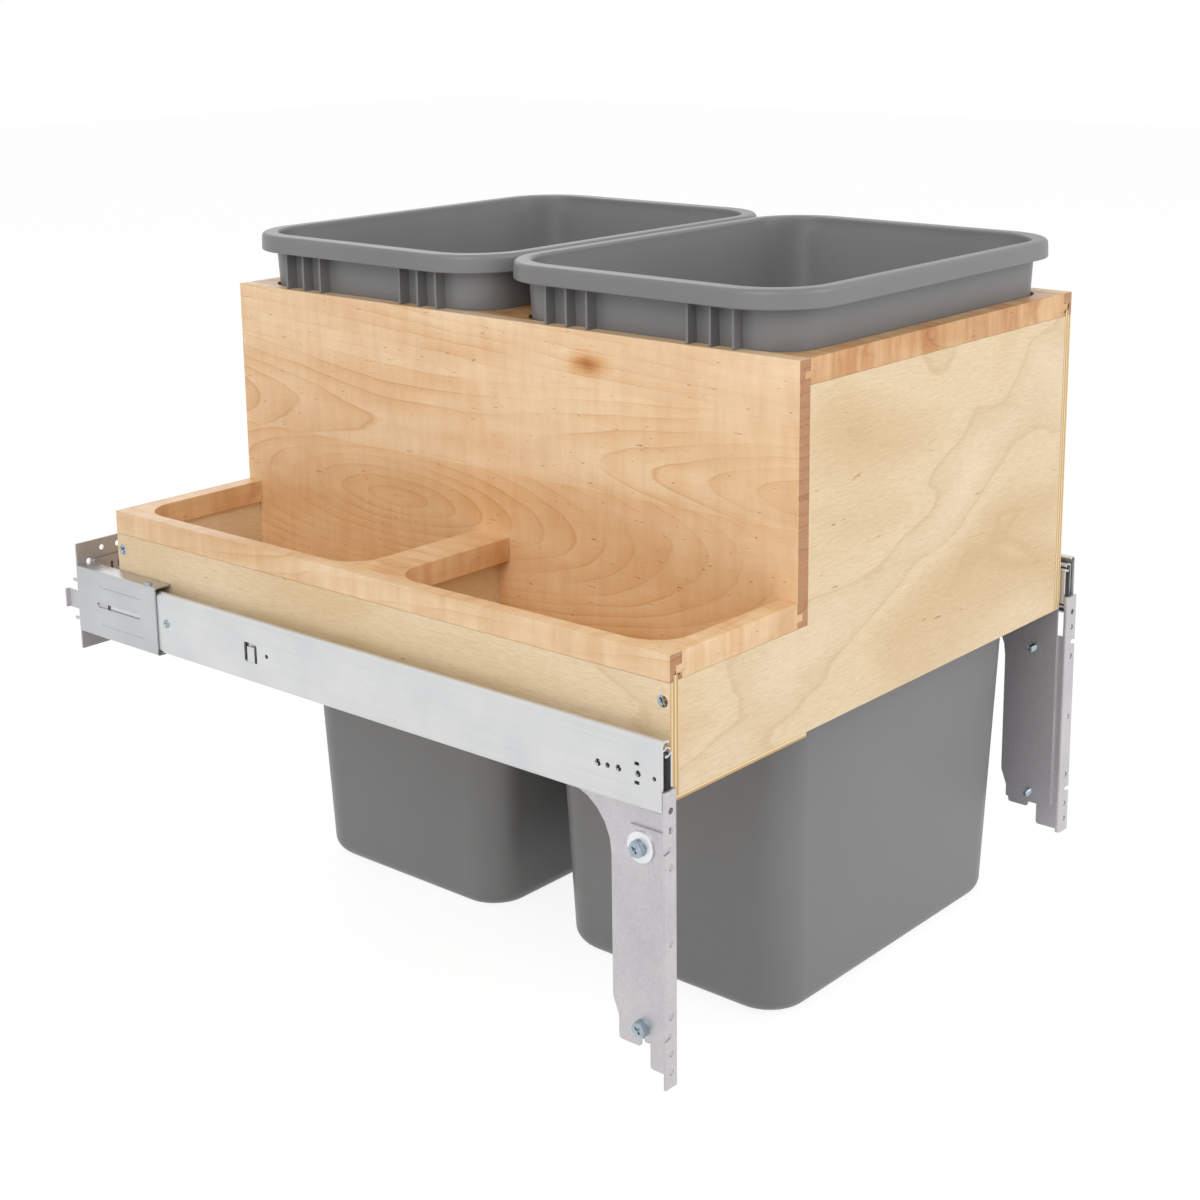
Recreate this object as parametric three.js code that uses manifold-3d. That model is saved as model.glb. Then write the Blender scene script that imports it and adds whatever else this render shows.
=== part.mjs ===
// Top-mounted pull-out waste unit for a 24 inch base cabinet: a stepped maple and plywood box that
// carries two lift-out bins and a side tray, hung on a pair of full-extension ball-bearing slides,
// with door brackets at the front. Millimetres, +Z up, -Y towards the kitchen, +X to the right.
import * as THREE from 'three';
import { mergeVertices } from 'three/addons/utils/BufferGeometryUtils.js';
import Module from 'manifold-3d';

const wasm = await Module();
wasm.setup();

// ---------------------------------------------------------------- driving dimensions: wooden box
const plyThickness = 12;
const boardThickness = 12;        // solid maple rails and the tall panel
const railHeight = 18;            // maple frame boards and rails, on top of the plywood
const trayTop = 94;               // top of the tray frame above the underside of the plywood
const binFrameTop = 258;          // top of the bin frame
const trayWidth = 135;            // left face of the box to the left face of the tall panel
const endBoardWidth = 15;         // front and rear boards of both frames
const trayDividerWidth = 35;
const trayFloorThickness = 3.2;
const rabbetDepth = 3;            // how far an end panel laps into a side panel
const frameTongueHeight = 5.3;    // lock joint between the frame boards and the rails
const frameTongueDepth = 6;
const ridgeWidth = 4;             // plywood ridge that enters the underside of a rail
const ridgeHeight = 4;
const ridgeToTongue = 0.5;        // ridge to the tongues above it
const openingRadius = 28;         // rounded corners of the tray and bin openings
const glueLine = 0.1;             // gap left in every wooden joint
const panelScrewEdge = 6;         // panel screw to the front or rear edge
const panelScrewHeights = [63, 203];
const panelScrewLength = 35;
const panelScrewRadius = 2;
const panelScrewHeadRadius = 4.4;
const panelScrewHeadHeight = 2.6;

// ---------------------------------------------------------------- driving dimensions: bins
const rimLength = 376.6;          // across the cabinet
const rimWidth = 275.7;
const rimGap = 3.4;               // between the two rims
const rimCornerRadius = 55;
const lipHeight = 13.7;
const lipLift = 43.2;             // rim top above the bin frame
const lipWall = 2.2;
const lipRound = 3;               // rounding along the outer edge of the rim
const rimBandX = 14.5;            // outer edge of the rim to its inner edge, end walls
const rimBandY = 12.5;            // the same at the long walls
const neckWall = 2;               // wall right under the rim
const binWall = 2.6;
const binFloor = 3;
const binDepth = 540.9;           // rim top to the underside of the floor
const binBodyInsetX = 18.8;       // body behind the rim's edge, at the level of the bin frame
const binBodyInsetY = 13.5;
const binDraft = 0.0375;          // how much each wall leans in, per millimetre of depth
const binCornerRadius = 32;
const binFloorRadius = 13;
const ribThickness = 2;
const ribReach = 10;              // body face to the outer edge of a rib
const ribPitch = 19.5;
const ribInnerOffset = 45;        // middle of the bin to the nearest rib
const ribsPerGroup = 3;
const binOpeningPlay = 1.1;       // bin body to the front and rear edges of its opening
const binEndPlay = 0.5;           // bin body to the tall panel and to the right rail

// ---------------------------------------------------------------- driving dimensions: slides
const slideAxisHeight = 18.25;    // middle of the slide above the underside of the box
const slideFront = -5;            // front end of the cabinet member
const slideSetback = 6;           // its rear end in front of the back of the box
const slideThickness = 12.7;      // outer face of the cabinet member to the back of the drawer member
const innerFront = -3;            // front ends of the two inner members
const innerSetback = 87;          // their rear ends in front of the rear end of the slide
const cabinetWall = 1.4;
const intermediateWall = 1.2;
const drawerWall = 1.4;
const outerBallRadius = 2.6;
const innerBallRadius = 2.2;
const racePlay = 0.15;            // running gap of a ball in its race
const outerBallHeight = 20.5;     // slide axis to the outer row of balls
const innerBallOffset = 3.65;     // outer row of balls to the inner row, towards the box
const memberGap = 0.4;            // running gap between the webs and the cages
const cageWall = 0.6;
const foldRadius = 0.9;           // tight folds of the two inner members
const cageLength = 170;
const cageFront = 140;            // front end of both cages, slide shut
const ballsPerRow = 5;
const webHoles = [                // from the front end, above the slide axis, radius
  [6, -0.8, 1.6],
  [19, -0.6, 2.3],
  [35, -0.8, 2.4],
  [44, -1.2, 1.9],
  [52, -1.2, 2.6],
];
const hookSlotStart = 18;         // pair of small hooks' slots, from the front end
const hookSlotLength = 4;
const hookSlotSpans = [[4.7, 7.1], [-8, -5.6]];
const windowSetback = 176;        // front of the tab's window to the rear end of the slide
const windowLength = 14;
const windowSpan = [-8.2, 6.8];
const windowRadius = 1;
const tabLength = 8;
const tabSpan = [-8.5, 3.5];
const tabSink = 0.2;              // tab behind the outer face of the web
const windowHoleGap = 11;         // small hole in front of the window
const windowHoleRadius = 1.7;
const slideScrewFront = 70;
const slideScrewSetback = 27;     // rear screw to the rear end of the drawer member
const slideScrewRadius = 2;
const slideScrewHeadRadius = 4;
const slideScrewHeadTop = 2.4;    // radius of the head's flat top
const slideScrewHeadHeight = 2;
const slideScrewHeadRim = 1.2;    // height of the head's round edge
const slideScrewGrip = 9;         // length of the screw in the plywood
const rivetSetback = 70;          // rivet to the rear end of the slide
const rivetHeight = 1.35;         // rivet above the slide axis
const rivetRadius = 2;
const rivetHeadRadius = 3.4;
const rivetHeadTop = 2.4;
const rivetHeadHeight = 0.8;

// ---------------------------------------------------------------- driving dimensions: soft-close unit
const damperGap = 6;              // behind the inner members
const damperSetback = 9;          // in front of the rear end of the slide
const damperBaseWall = 2.4;
const damperHalfHeight = 16;
const damperBodyDepth = 7.5;      // web of the cabinet member to the top of the unit
const damperTrackSpan = [5, 14];
const damperTubeRadius = 4.4;
const damperTubeHeight = -7;
const damperTubeDepth = 5;        // web of the cabinet member to the middle of the tube
const damperTubeStart = 22;       // front of the unit to the tube
const damperRodRadius = 1.6;
const damperCatchStart = 2;
const damperCatchLength = 6;
const damperCatchSpan = [-11, 6];

// ---------------------------------------------------------------- driving dimensions: rear sockets
const sleeveWall = 1.2;
const sleeveLength = 100;
const sleeveReach = 41;           // behind the rear end of the slide
const sleeveHeight = 54.5;
const sleeveDepth = 15;           // outer face to the free edges of the flanges
const sleeveLift = 0.5;           // middle of the sleeve above the slide axis
const sleevePlay = 0.3;           // round the cabinet member
const sleeveBend = 1.5;
const sleeveSlotEnds = [20, 25];  // slot to the front and rear ends of the sleeve
const sleeveSlotWidth = 4;
const sleeveGrooveEnds = [16, 30];
const sleeveGrooveWidth = 2;
const sleeveGrooveOffset = 15.7;  // middle of the sleeve to each groove
const sleeveGrooveDepth = 0.4;
const clampScrewFromEnd = 12;     // clamp screw to the front end of the sleeve
const clampScrewInset = 4;        // and to its outer face
const clampScrewRadius = 1.4;
const clampHeadRadius = 3;
const clampHeadTop = 1.8;         // radius of the head's flat top
const clampHeadHeight = 2;
const clampHeadRim = 1.2;
const backPlateWall = 1.6;
const backPlateWidth = 60;
const backPlateTop = 63.6;
const backPlateBottom = -23.5;
const backPlateRadius = 6;
const backPlateHoleRadius = 2.3;
const backPlateHoles = [          // from the leg, above the underside of the box
  [11, 47.4],
  [24, 55.9],
  [39.3, 55.9],
  [51, 47.4],
  [30, -14],
  [48, -14],
];
const legOverlap = 4;             // leg behind the rear end of the slide, and inside the sleeve's edges
const padInset = 14;              // raised pad on the front of the plate, from the leg
const padMargin = 4;              // and from the plate's far edge
const padWall = 1.4;
const padLift = 1.2;              // pad in front of the plate
const padSpan = [-22, 30];        // from the slide axis
const padSlotOffsets = [30, 37];
const padSlotWidth = 2;
const padSlotSpan = [19, 25];
const hookReach = 14;
const hookHeight = 15.3;
const hookMiddle = -1.2;          // hook above the slide axis
const hookLip = 2.4;              // turned end of the hook
const pinReach = 6;
const pinRadius = 1.5;
const pinSpacing = 31.8;

// ---------------------------------------------------------------- driving dimensions: door brackets
const doorPlateWall = 1.8;        // fixed plate between the slide and the box
const doorPlateDepth = 47.5;
const doorPlateFront = 1;         // front edge behind the front of the box
const doorPlateArmHeight = 24;
const doorPlateMargin = 9;        // lower bolt to the lower edge
const doorPlateHeel = 5;          // lower rear corner in front of the rear edge
const doorPlateHeelSpan = [10, 23];
const doorPlateFlareRadius = 40;
const doorPlateFlareDrop = 15.75; // underside of the arm to the root of the flare
const doorPlateFlareReach = 50;
const doorBracketWall = 1.8;      // adjustable angle that takes the door
const doorFlangeWidth = 13;
const doorFlangeTop = 10;
const doorFlangeGap = 0.6;        // flange in front of the slide's front end
const doorFlangeBend = 1.6;
const doorHoleRadius = 2.4;
const doorHoleShift = 0.6;        // holes outside the middle of the flange
const doorHoleDrops = [13.3, 26.3, 51.2, 103, 153.5, 179, 192.1];
const doorHoleEdge = 10.9;        // lowest hole to the lower end of the flange
const doorNotchDrops = [38.9, 166.3];
const upperBoltHeight = -37;
const lowerBoltHeight = -163;
const boltFromFront = 21;
const boltRadius = 2.9;
const boltChamfer = 1;
const boltHeadAcross = 10;
const boltHeadHeight = 4.5;
const boltFlangeRadius = 6;
const boltFlangeHeight = 1;
const boltEnd = 7;                // shank end inside the plates
const boltPlay = 0.3;
const washerRadius = 10.7;
const washerThickness = 1.6;
const washerSides = 20;
const leafFootLift = 3;           // lower end of the flange to the foot of the leaf
const leafFootInset = 6.4;        // foot in front of the bolts
const leafNotchDrop = 9.5;        // lower bolt to the step behind the foot
const leafSlotWidth = 3.2;        // slot from the edge up to the lower bolt
const leafTabDrop = 14;           // lower bolt to the tab behind the slot
const leafTabInset = 6.5;         // tab in front of the rear edge of the fixed plate
const leafHeadRise = 13.5;        // upper bolt to the top of the leaf
const leafHeadDrop = 21;          // upper bolt to the underside of the leaf's head
const leafHeadReach = 10.4;       // head behind the bolts
const leafWaistInset = 5;         // waist in front of the bolts
const leafWaistDrops = [35, 63];

// ---------------------------------------------------------------- sizes worked out from the above
const tallInner = trayWidth + boardThickness;
const binBodyLength = rimLength - 2 * binBodyInsetX;
const binBodyWidth = rimWidth - 2 * binBodyInsetY;
const binOpeningWidth = binBodyWidth + 2 * binOpeningPlay;
const binPitch = rimWidth + rimGap;
const rightInner = tallInner + binBodyLength + 2 * binEndPlay;
const boxWidth = rightInner + boardThickness;
const boxDepth = binPitch + binOpeningWidth + 2 * endBoardWidth;
const boxMiddle = boxDepth / 2;
const trayBoardUnder = trayTop - railHeight;
const binBoardUnder = binFrameTop - railHeight;
const frameTongueDrop = railHeight - ridgeHeight - ridgeToTongue - frameTongueHeight;
const rimTop = binFrameTop + lipLift;
const binBottom = rimTop - binDepth;
const binMiddleX = (tallInner + rightInner) / 2;
const middleBoardWidth = binPitch - binOpeningWidth;
const slideRear = boxDepth - slideSetback;
const innerRear = slideRear - innerSetback;
const slideScrewPositions = [slideScrewFront, innerRear - slideScrewSetback];
const webFace = doorPlateWall + slideThickness;   // outer face of the cabinet member, from the box
const sleeveRear = slideRear + sleeveReach;
const sleeveFront = sleeveRear - sleeveLength;
const doorPlateBottom = lowerBoltHeight - doorPlateMargin;
const doorFlangeBottom = doorFlangeTop - doorHoleDrops.at(-1) - doorHoleEdge;
const degrees = Math.PI / 180;
const largeRadius = 10;           // arcs above it are drawn with the finer step
const fineStep = 15 * degrees;
const coarseStep = 24 * degrees;
const roundSides = 12;
const holeSides = 8;

const maple = { color: 0xe1b98c, roughness: 0.55, metalness: 0 };
const birchPly = { color: 0xecd6af, roughness: 0.6, metalness: 0 };
const greyPlastic = { color: 0x7d7d80, roughness: 0.45, metalness: 0 };
const zincSteel = { color: 0xd2d2d4, roughness: 0.35, metalness: 0.9 };
const bracketSteel = { color: 0xc3c1c8, roughness: 0.45, metalness: 0.85 };
const boltSteel = { color: 0xb9c6d0, roughness: 0.25, metalness: 1 };
const darkPlastic = { color: 0x2c3c6c, roughness: 0.5, metalness: 0 };

// ---------------------------------------------------------------- shape tools

// Merge shared corners and turn the faces outwards.
function welded(geometry) {
  const bare = geometry.clone();
  bare.deleteAttribute('normal');
  bare.deleteAttribute('uv');
  const merged = mergeVertices(bare, 1e-4);
  const position = merged.attributes.position;
  const index = merged.index.array;
  const [a, b, c] = [new THREE.Vector3(), new THREE.Vector3(), new THREE.Vector3()];
  let volume = 0;
  for (let i = 0; i < index.length; i += 3) {
    a.fromBufferAttribute(position, index[i]);
    b.fromBufferAttribute(position, index[i + 1]);
    c.fromBufferAttribute(position, index[i + 2]);
    volume += a.dot(b.cross(c));
  }
  if (volume < 0) {
    for (let i = 0; i < index.length; i += 3) {
      [index[i], index[i + 1]] = [index[i + 1], index[i]];
    }
  }
  return merged;
}

function toManifold(geometry) {
  const { attributes, index } = welded(geometry);
  return new wasm.Manifold(new wasm.Mesh({
    numProp: 3,
    vertProperties: Float32Array.from(attributes.position.array),
    triVerts: Uint32Array.from(index.array),
  }));
}

function toGeometry(manifold) {
  const mesh = manifold.getMesh();
  const geometry = new THREE.BufferGeometry();
  geometry.setAttribute('position', new THREE.BufferAttribute(mesh.vertProperties, 3));
  geometry.setIndex(new THREE.BufferAttribute(mesh.triVerts, 1));
  return geometry;
}

function join(first, ...others) {
  return toGeometry(others.reduce((sum, other) => sum.add(toManifold(other)), toManifold(first)));
}

function cut(first, ...tools) {
  return toGeometry(tools.reduce((rest, tool) => rest.subtract(toManifold(tool)), toManifold(first)));
}

function arc(u, v, radius, from, to) {
  const step = radius > largeRadius ? fineStep : coarseStep;
  const steps = Math.max(2, Math.ceil(Math.abs(to - from) / step - 0.01));
  return Array.from({ length: steps + 1 }, (_, i) => {
    const angle = from + (to - from) * i / steps;
    return new THREE.Vector2(u + radius * Math.cos(angle), v + radius * Math.sin(angle));
  });
}

// Closed outline from corners [u, v, fillet radius].
function outline(corners) {
  return corners.flatMap(([u, v, radius = 0], i) => {
    const corner = new THREE.Vector2(u, v);
    if (radius === 0) return [corner];
    const [beforeU, beforeV] = corners.at(i - 1);
    const [afterU, afterV] = corners[(i + 1) % corners.length];
    const back = new THREE.Vector2(beforeU - u, beforeV - v).normalize();
    const ahead = new THREE.Vector2(afterU - u, afterV - v).normalize();
    const half = Math.acos(back.dot(ahead)) / 2;
    const middle = back.clone().add(ahead).normalize().multiplyScalar(radius / Math.sin(half));
    const centre = corner.clone().add(middle);
    const start = corner.clone().addScaledVector(back, radius / Math.tan(half)).sub(centre);
    const end = corner.clone().addScaledVector(ahead, radius / Math.tan(half)).sub(centre);
    const from = start.angle();
    let turn = end.angle() - from;
    if (turn > Math.PI) turn -= 2 * Math.PI;
    if (turn < -Math.PI) turn += 2 * Math.PI;
    return arc(centre.x, centre.y, radius, from, from + turn);
  });
}

// Outline of a bent sheet that follows a centre line.
function sheetOutline(path, wall) {
  const side = (offset) => path.map((point, i) => {
    const before = path[Math.max(i - 1, 0)];
    const after = path[Math.min(i + 1, path.length - 1)];
    const one = point.clone().sub(before).normalize();
    const two = after.clone().sub(point).normalize();
    const along = one.add(two).normalize();
    const reach = offset / (two.lengthSq() > 0 ? Math.max(along.dot(two), 0.5) : 1);
    return new THREE.Vector2(point.x - along.y * reach, point.y + along.x * reach);
  });
  return [...side(wall / 2), ...side(-wall / 2).reverse()];
}

function circle(u, v, radius, sides = holeSides) {
  return Array.from({ length: sides }, (_, i) => {
    const angle = 2 * Math.PI * (i + 0.5) / sides;
    return new THREE.Vector2(u + radius * Math.cos(angle), v + radius * Math.sin(angle));
  });
}

function rectangle(u0, v0, u1, v1) {
  return outline([[u0, v0], [u1, v0], [u1, v1], [u0, v1]]);
}

// A slab from a flat outline: normal to x it takes (y, z), to y it takes (x, z), to z it takes (x, y).
function slab(axis, points, from, to) {
  const shape = new THREE.Shape(points);
  const geometry = new THREE.ExtrudeGeometry(shape, { depth: to - from, bevelEnabled: false });
  if (axis === 'x') {
    geometry.applyMatrix4(new THREE.Matrix4().makeBasis(
      new THREE.Vector3(0, 1, 0), new THREE.Vector3(0, 0, 1), new THREE.Vector3(1, 0, 0)));
    return geometry.translate(from, 0, 0);
  }
  if (axis === 'y') return geometry.rotateX(Math.PI / 2).translate(0, to, 0);
  return geometry.translate(0, 0, from);
}

function block(x0, x1, y0, y1, z0, z1) {
  return new THREE.BoxGeometry(x1 - x0, y1 - y0, z1 - z0)
    .translate((x0 + x1) / 2, (y0 + y1) / 2, (z0 + z1) / 2);
}

// A turned piece along x, from a half profile [distance along x, radius].
function turned(profile, y, z, sides = roundSides) {
  return new THREE.LatheGeometry(profile.map(([along, radius]) => new THREE.Vector2(radius, along)), sides)
    .rotateZ(-Math.PI / 2)
    .translate(0, y, z);
}

function mirrored(geometry) {
  const copy = geometry.clone().scale(-1, 1, 1);
  return copy.translate(boxWidth, 0, 0);
}

const group = new THREE.Group();

function add(name, geometry, finish) {
  const solid = welded(geometry);
  solid.computeVertexNormals();
  const mesh = new THREE.Mesh(solid, new THREE.MeshStandardMaterial(finish));
  mesh.name = name;
  group.add(mesh);
  return mesh;
}

// ---------------------------------------------------------------- wooden box: plywood

// Countersunk screw from a side panel into an end panel; side is 1 on the left and -1 on the right.
function panelScrew(side, y, z, play) {
  const headRadius = panelScrewHeadRadius + play;
  const shankRadius = panelScrewRadius + play;
  const screw = turned([
    [0, 0],
    [0, headRadius],
    [panelScrewHeadHeight, shankRadius],
    [panelScrewLength + play, shankRadius],
    [panelScrewLength + play, 0],
  ], y, z);
  return side === 1 ? screw : screw.scale(-1, 1, 1).translate(boxWidth, 0, 0);
}

const panelScrews = [];
for (const [side, sideName, heights] of [
  [1, 'left', panelScrewHeights.slice(0, 1)],
  [-1, 'right', panelScrewHeights],
]) {
  for (const [end, y] of [['front', panelScrewEdge], ['rear', boxDepth - panelScrewEdge]]) {
    heights.forEach((z, i) => {
      const level = heights.length > 1 ? ['_lower', '_upper'][i] : '';
      panelScrews.push({ name: `panel_screw_${sideName}_${end}${level}`, side, y, z });
    });
  }
}
const screwHoles = panelScrews.map(({ side, y, z }) => panelScrew(side, y, z, glueLine));
panelScrews.forEach(({ name, side, y, z }) => add(name, panelScrew(side, y, z, 0), boltSteel));

// Pan-head screw through the drawer member and the door plate into the left side panel.
function slideScrew(y) {
  const start = -doorPlateWall - drawerWall;
  return turned([
    [start - slideScrewHeadHeight, 0],
    [start - slideScrewHeadHeight, slideScrewHeadTop],
    [start - slideScrewHeadRim, slideScrewHeadRadius],
    [start, slideScrewHeadRadius],
    [start, slideScrewRadius],
    [slideScrewGrip, slideScrewRadius],
    [slideScrewGrip, 0],
  ], y, slideAxisHeight);
}

function slideScrewHole(y) {
  const radius = slideScrewRadius + glueLine;
  return turned([
    [-webFace, 0],
    [-webFace, radius],
    [slideScrewGrip + glueLine, radius],
    [slideScrewGrip + glueLine, 0],
  ], y, slideAxisHeight);
}

const slideScrewHoles = slideScrewPositions.map(slideScrewHole);

function rabbets(innerFace, outerFace, top) {
  const lap = plyThickness + glueLine;
  return [
    block(innerFace, outerFace, -1, lap, -1, top),
    block(innerFace, outerFace, boxDepth - lap, boxDepth + 1, -1, top),
  ];
}

function ridge(middle, base, play) {
  const half = ridgeWidth / 2 + play;
  const top = base + ridgeHeight + play;
  return block(middle - half, middle + half, -play, boxDepth + play, base - glueLine, top);
}

const leftPly = join(
  slab('x', rectangle(0, 0, boxDepth, trayBoardUnder - glueLine), 0, plyThickness),
  ridge(plyThickness / 2, trayBoardUnder, 0),
);
add('side_panel_left', cut(
  leftPly,
  ...rabbets(plyThickness - rabbetDepth, plyThickness + 1, trayBoardUnder + 1),
  ...screwHoles,
  ...slideScrewHoles,
), birchPly);

const rightPly = join(
  slab('x', rectangle(0, 0, boxDepth, binBoardUnder - glueLine), boxWidth - plyThickness, boxWidth),
  ridge(boxWidth - plyThickness / 2, binBoardUnder, 0),
);
add('side_panel_right', cut(
  rightPly,
  ...rabbets(boxWidth - plyThickness - 1, boxWidth - plyThickness + rabbetDepth, binBoardUnder + 1),
  ...screwHoles,
  ...slideScrewHoles.map(mirrored),
), birchPly);

// Stepped end panels: low under the tray frame, high under the bin frame.
const endLeft = plyThickness - rabbetDepth + glueLine;
const endRight = boxWidth - endLeft;
const endOutline = outline([
  [endLeft, 0],
  [endRight, 0],
  [endRight, binBoardUnder - glueLine],
  [tallInner + glueLine, binBoardUnder - glueLine],
  [tallInner + glueLine, trayBoardUnder - glueLine],
  [endLeft, trayBoardUnder - glueLine],
]);
add('front_panel', cut(slab('y', endOutline, 0, plyThickness), ...screwHoles), birchPly);
add('rear_panel', cut(slab('y', endOutline, boxDepth - plyThickness, boxDepth), ...screwHoles), birchPly);

add('tray_floor', slab('z', rectangle(0, 0, tallInner, boxDepth), -trayFloorThickness - glueLine, -glueLine),
  birchPly);
add('tray_partition', block(
  plyThickness + glueLine, trayWidth - glueLine,
  boxMiddle - plyThickness / 2, boxMiddle + plyThickness / 2,
  0, trayBoardUnder - glueLine,
), birchPly);

// ---------------------------------------------------------------- wooden box: maple frames

// One frame lies between two long members; its boards lock into them with tongues.
const trayFrame = {
  left: boardThickness, right: trayWidth, top: trayTop, roundLeft: true, roundRight: false,
};
const binFrame = {
  left: tallInner, right: rightInner, top: binFrameTop, roundLeft: true, roundRight: true,
};

function tongue(frame, y0, y1, play) {
  const top = frame.top - frameTongueDrop + play;
  const bottom = frame.top - frameTongueDrop - frameTongueHeight - play;
  const reach = frameTongueDepth - glueLine + play;
  return block(frame.left - reach, frame.right + reach, y0 - play, y1 + play, bottom, top);
}

// Board across a frame from y0 to y1; openBefore and openBehind say where an opening meets it.
function frameBoard(frame, y0, y1, openBefore, openBehind) {
  const left = frame.left + glueLine;
  const right = frame.right - glueLine;
  const [u0, u1] = [left + openingRadius, right - openingRadius];
  const points = [];
  if (openBefore) {
    if (frame.roundLeft) points.push(...arc(u0, y0 - openingRadius, openingRadius, Math.PI, Math.PI / 2));
    else points.push(new THREE.Vector2(left, y0));
    if (frame.roundRight) points.push(...arc(u1, y0 - openingRadius, openingRadius, Math.PI / 2, 0));
    else points.push(new THREE.Vector2(right, y0));
  } else {
    points.push(new THREE.Vector2(left, y0), new THREE.Vector2(right, y0));
  }
  if (openBehind) {
    if (frame.roundRight) points.push(...arc(u1, y1 + openingRadius, openingRadius, 0, -Math.PI / 2));
    else points.push(new THREE.Vector2(right, y1));
    if (frame.roundLeft) points.push(...arc(u0, y1 + openingRadius, openingRadius, -Math.PI / 2, -Math.PI));
    else points.push(new THREE.Vector2(left, y1));
  } else {
    points.push(new THREE.Vector2(right, y1), new THREE.Vector2(left, y1));
  }
  return join(slab('z', points, frame.top - railHeight, frame.top), tongue(frame, y0, y1, 0));
}

const trayBoards = [
  ['tray_board_front', 0, endBoardWidth, false, true],
  ['tray_board_middle', boxMiddle - trayDividerWidth / 2, boxMiddle + trayDividerWidth / 2, true, true],
  ['tray_board_rear', boxDepth - endBoardWidth, boxDepth, true, false],
];
const binBoards = [
  ['bin_board_front', 0, endBoardWidth, false, true],
  ['bin_board_middle', boxMiddle - middleBoardWidth / 2, boxMiddle + middleBoardWidth / 2, true, true],
  ['bin_board_rear', boxDepth - endBoardWidth, boxDepth, true, false],
];
for (const [frame, boards] of [[trayFrame, trayBoards], [binFrame, binBoards]]) {
  for (const [name, y0, y1, before, behind] of boards) {
    add(name, frameBoard(frame, y0, y1, before, behind), maple);
  }
}
const trayGrooves = trayBoards.map(([, y0, y1]) => tongue(trayFrame, y0, y1, glueLine));
const binGrooves = binBoards.map(([, y0, y1]) => tongue(binFrame, y0, y1, glueLine));

add('tray_rail_left', cut(
  slab('x', rectangle(0, trayBoardUnder, boxDepth, trayTop), 0, boardThickness),
  ridge(plyThickness / 2, trayBoardUnder, glueLine),
  ...trayGrooves,
), maple);

const tallOutline = outline([
  [plyThickness + glueLine, 0],
  [boxDepth - plyThickness - glueLine, 0],
  [boxDepth - plyThickness - glueLine, trayBoardUnder],
  [boxDepth, trayBoardUnder],
  [boxDepth, binFrameTop],
  [0, binFrameTop],
  [0, trayBoardUnder],
  [plyThickness + glueLine, trayBoardUnder],
]);
add('tall_panel', cut(slab('x', tallOutline, trayWidth, tallInner), ...trayGrooves, ...binGrooves), maple);

add('bin_rail_right', cut(
  slab('x', rectangle(0, binBoardUnder, boxDepth, binFrameTop), rightInner, boxWidth),
  ridge(boxWidth - plyThickness / 2, binBoardUnder, glueLine),
  ...binGrooves,
), maple);

// ---------------------------------------------------------------- bins

const cornerSteps = 4;

// Rounded rectangle, inset from the outer edge of the rim.
function binRing(insetX, insetY, radius, z) {
  const [halfX, halfY] = [rimLength / 2 - insetX, rimWidth / 2 - insetY];
  const corners = [[1, 1, 0], [-1, 1, 1], [-1, -1, 2], [1, -1, 3]];
  return corners.flatMap(([signX, signY, quarter]) => Array.from({ length: cornerSteps + 1 }, (_, i) => {
    const angle = (quarter + i / cornerSteps) * Math.PI / 2;
    return new THREE.Vector3(
      signX * (halfX - radius) + radius * Math.cos(angle),
      signY * (halfY - radius) + radius * Math.sin(angle),
      z,
    );
  }));
}

// Skin over a stack of rings with both ends closed.
function loft(rings) {
  const count = rings[0].length;
  const positions = rings.flat().flatMap((point) => point.toArray());
  const indices = [];
  for (let level = 0; level + 1 < rings.length; level += 1) {
    for (let i = 0; i < count; i += 1) {
      const [a, b] = [level * count + i, level * count + (i + 1) % count];
      indices.push(a, b, a + count, b, b + count, a + count);
    }
  }
  for (let i = 1; i + 1 < count; i += 1) {
    indices.push(0, i + 1, i);
    const last = (rings.length - 1) * count;
    indices.push(last, last + i, last + i + 1);
  }
  const geometry = new THREE.BufferGeometry();
  geometry.setAttribute('position', new THREE.Float32BufferAttribute(positions, 3));
  geometry.setIndex(indices);
  return geometry;
}

function bodyRing(z, wall, tuck = 0) {
  const lean = binDraft * (binFrameTop - z) + wall + tuck;
  return binRing(binBodyInsetX + lean, binBodyInsetY + lean, binCornerRadius - wall - tuck / 2, z);
}

// Floor edge from the middle outwards: the wall turns under in a quarter circle.
function floorRings(z, wall) {
  const radius = binFloorRadius - wall;
  return [90, 60, 30, 0].map((angle) => bodyRing(
    z + radius * (1 - Math.sin(angle * degrees)),
    wall,
    radius * (1 - Math.cos(angle * degrees)),
  ));
}

function binBody() {
  const lipBottom = rimTop - lipHeight;
  const band = (inset, z) => binRing(inset, inset, rimCornerRadius - inset, z);
  const mouthRadius = rimCornerRadius - rimBandY;
  const inner = (inset, z) => binRing(inset + rimBandX, inset + rimBandY, mouthRadius - inset, z);
  return loft([
    ...floorRings(binBottom, 0),
    bodyRing(lipBottom, 0),
    inner(-neckWall, rimTop - binWall),
    band(lipWall, rimTop - binWall),
    band(lipWall, lipBottom),
    band(0, lipBottom),
    band(0, rimTop - lipRound),
    band(lipRound * 0.3, rimTop - lipRound * 0.3),
    band(lipRound, rimTop),
    inner(-1, rimTop),
    inner(0, rimTop - 1),
    bodyRing(lipBottom, binWall),
    ...floorRings(binBottom + binFloor, binWall).reverse(),
  ]);
}

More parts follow.
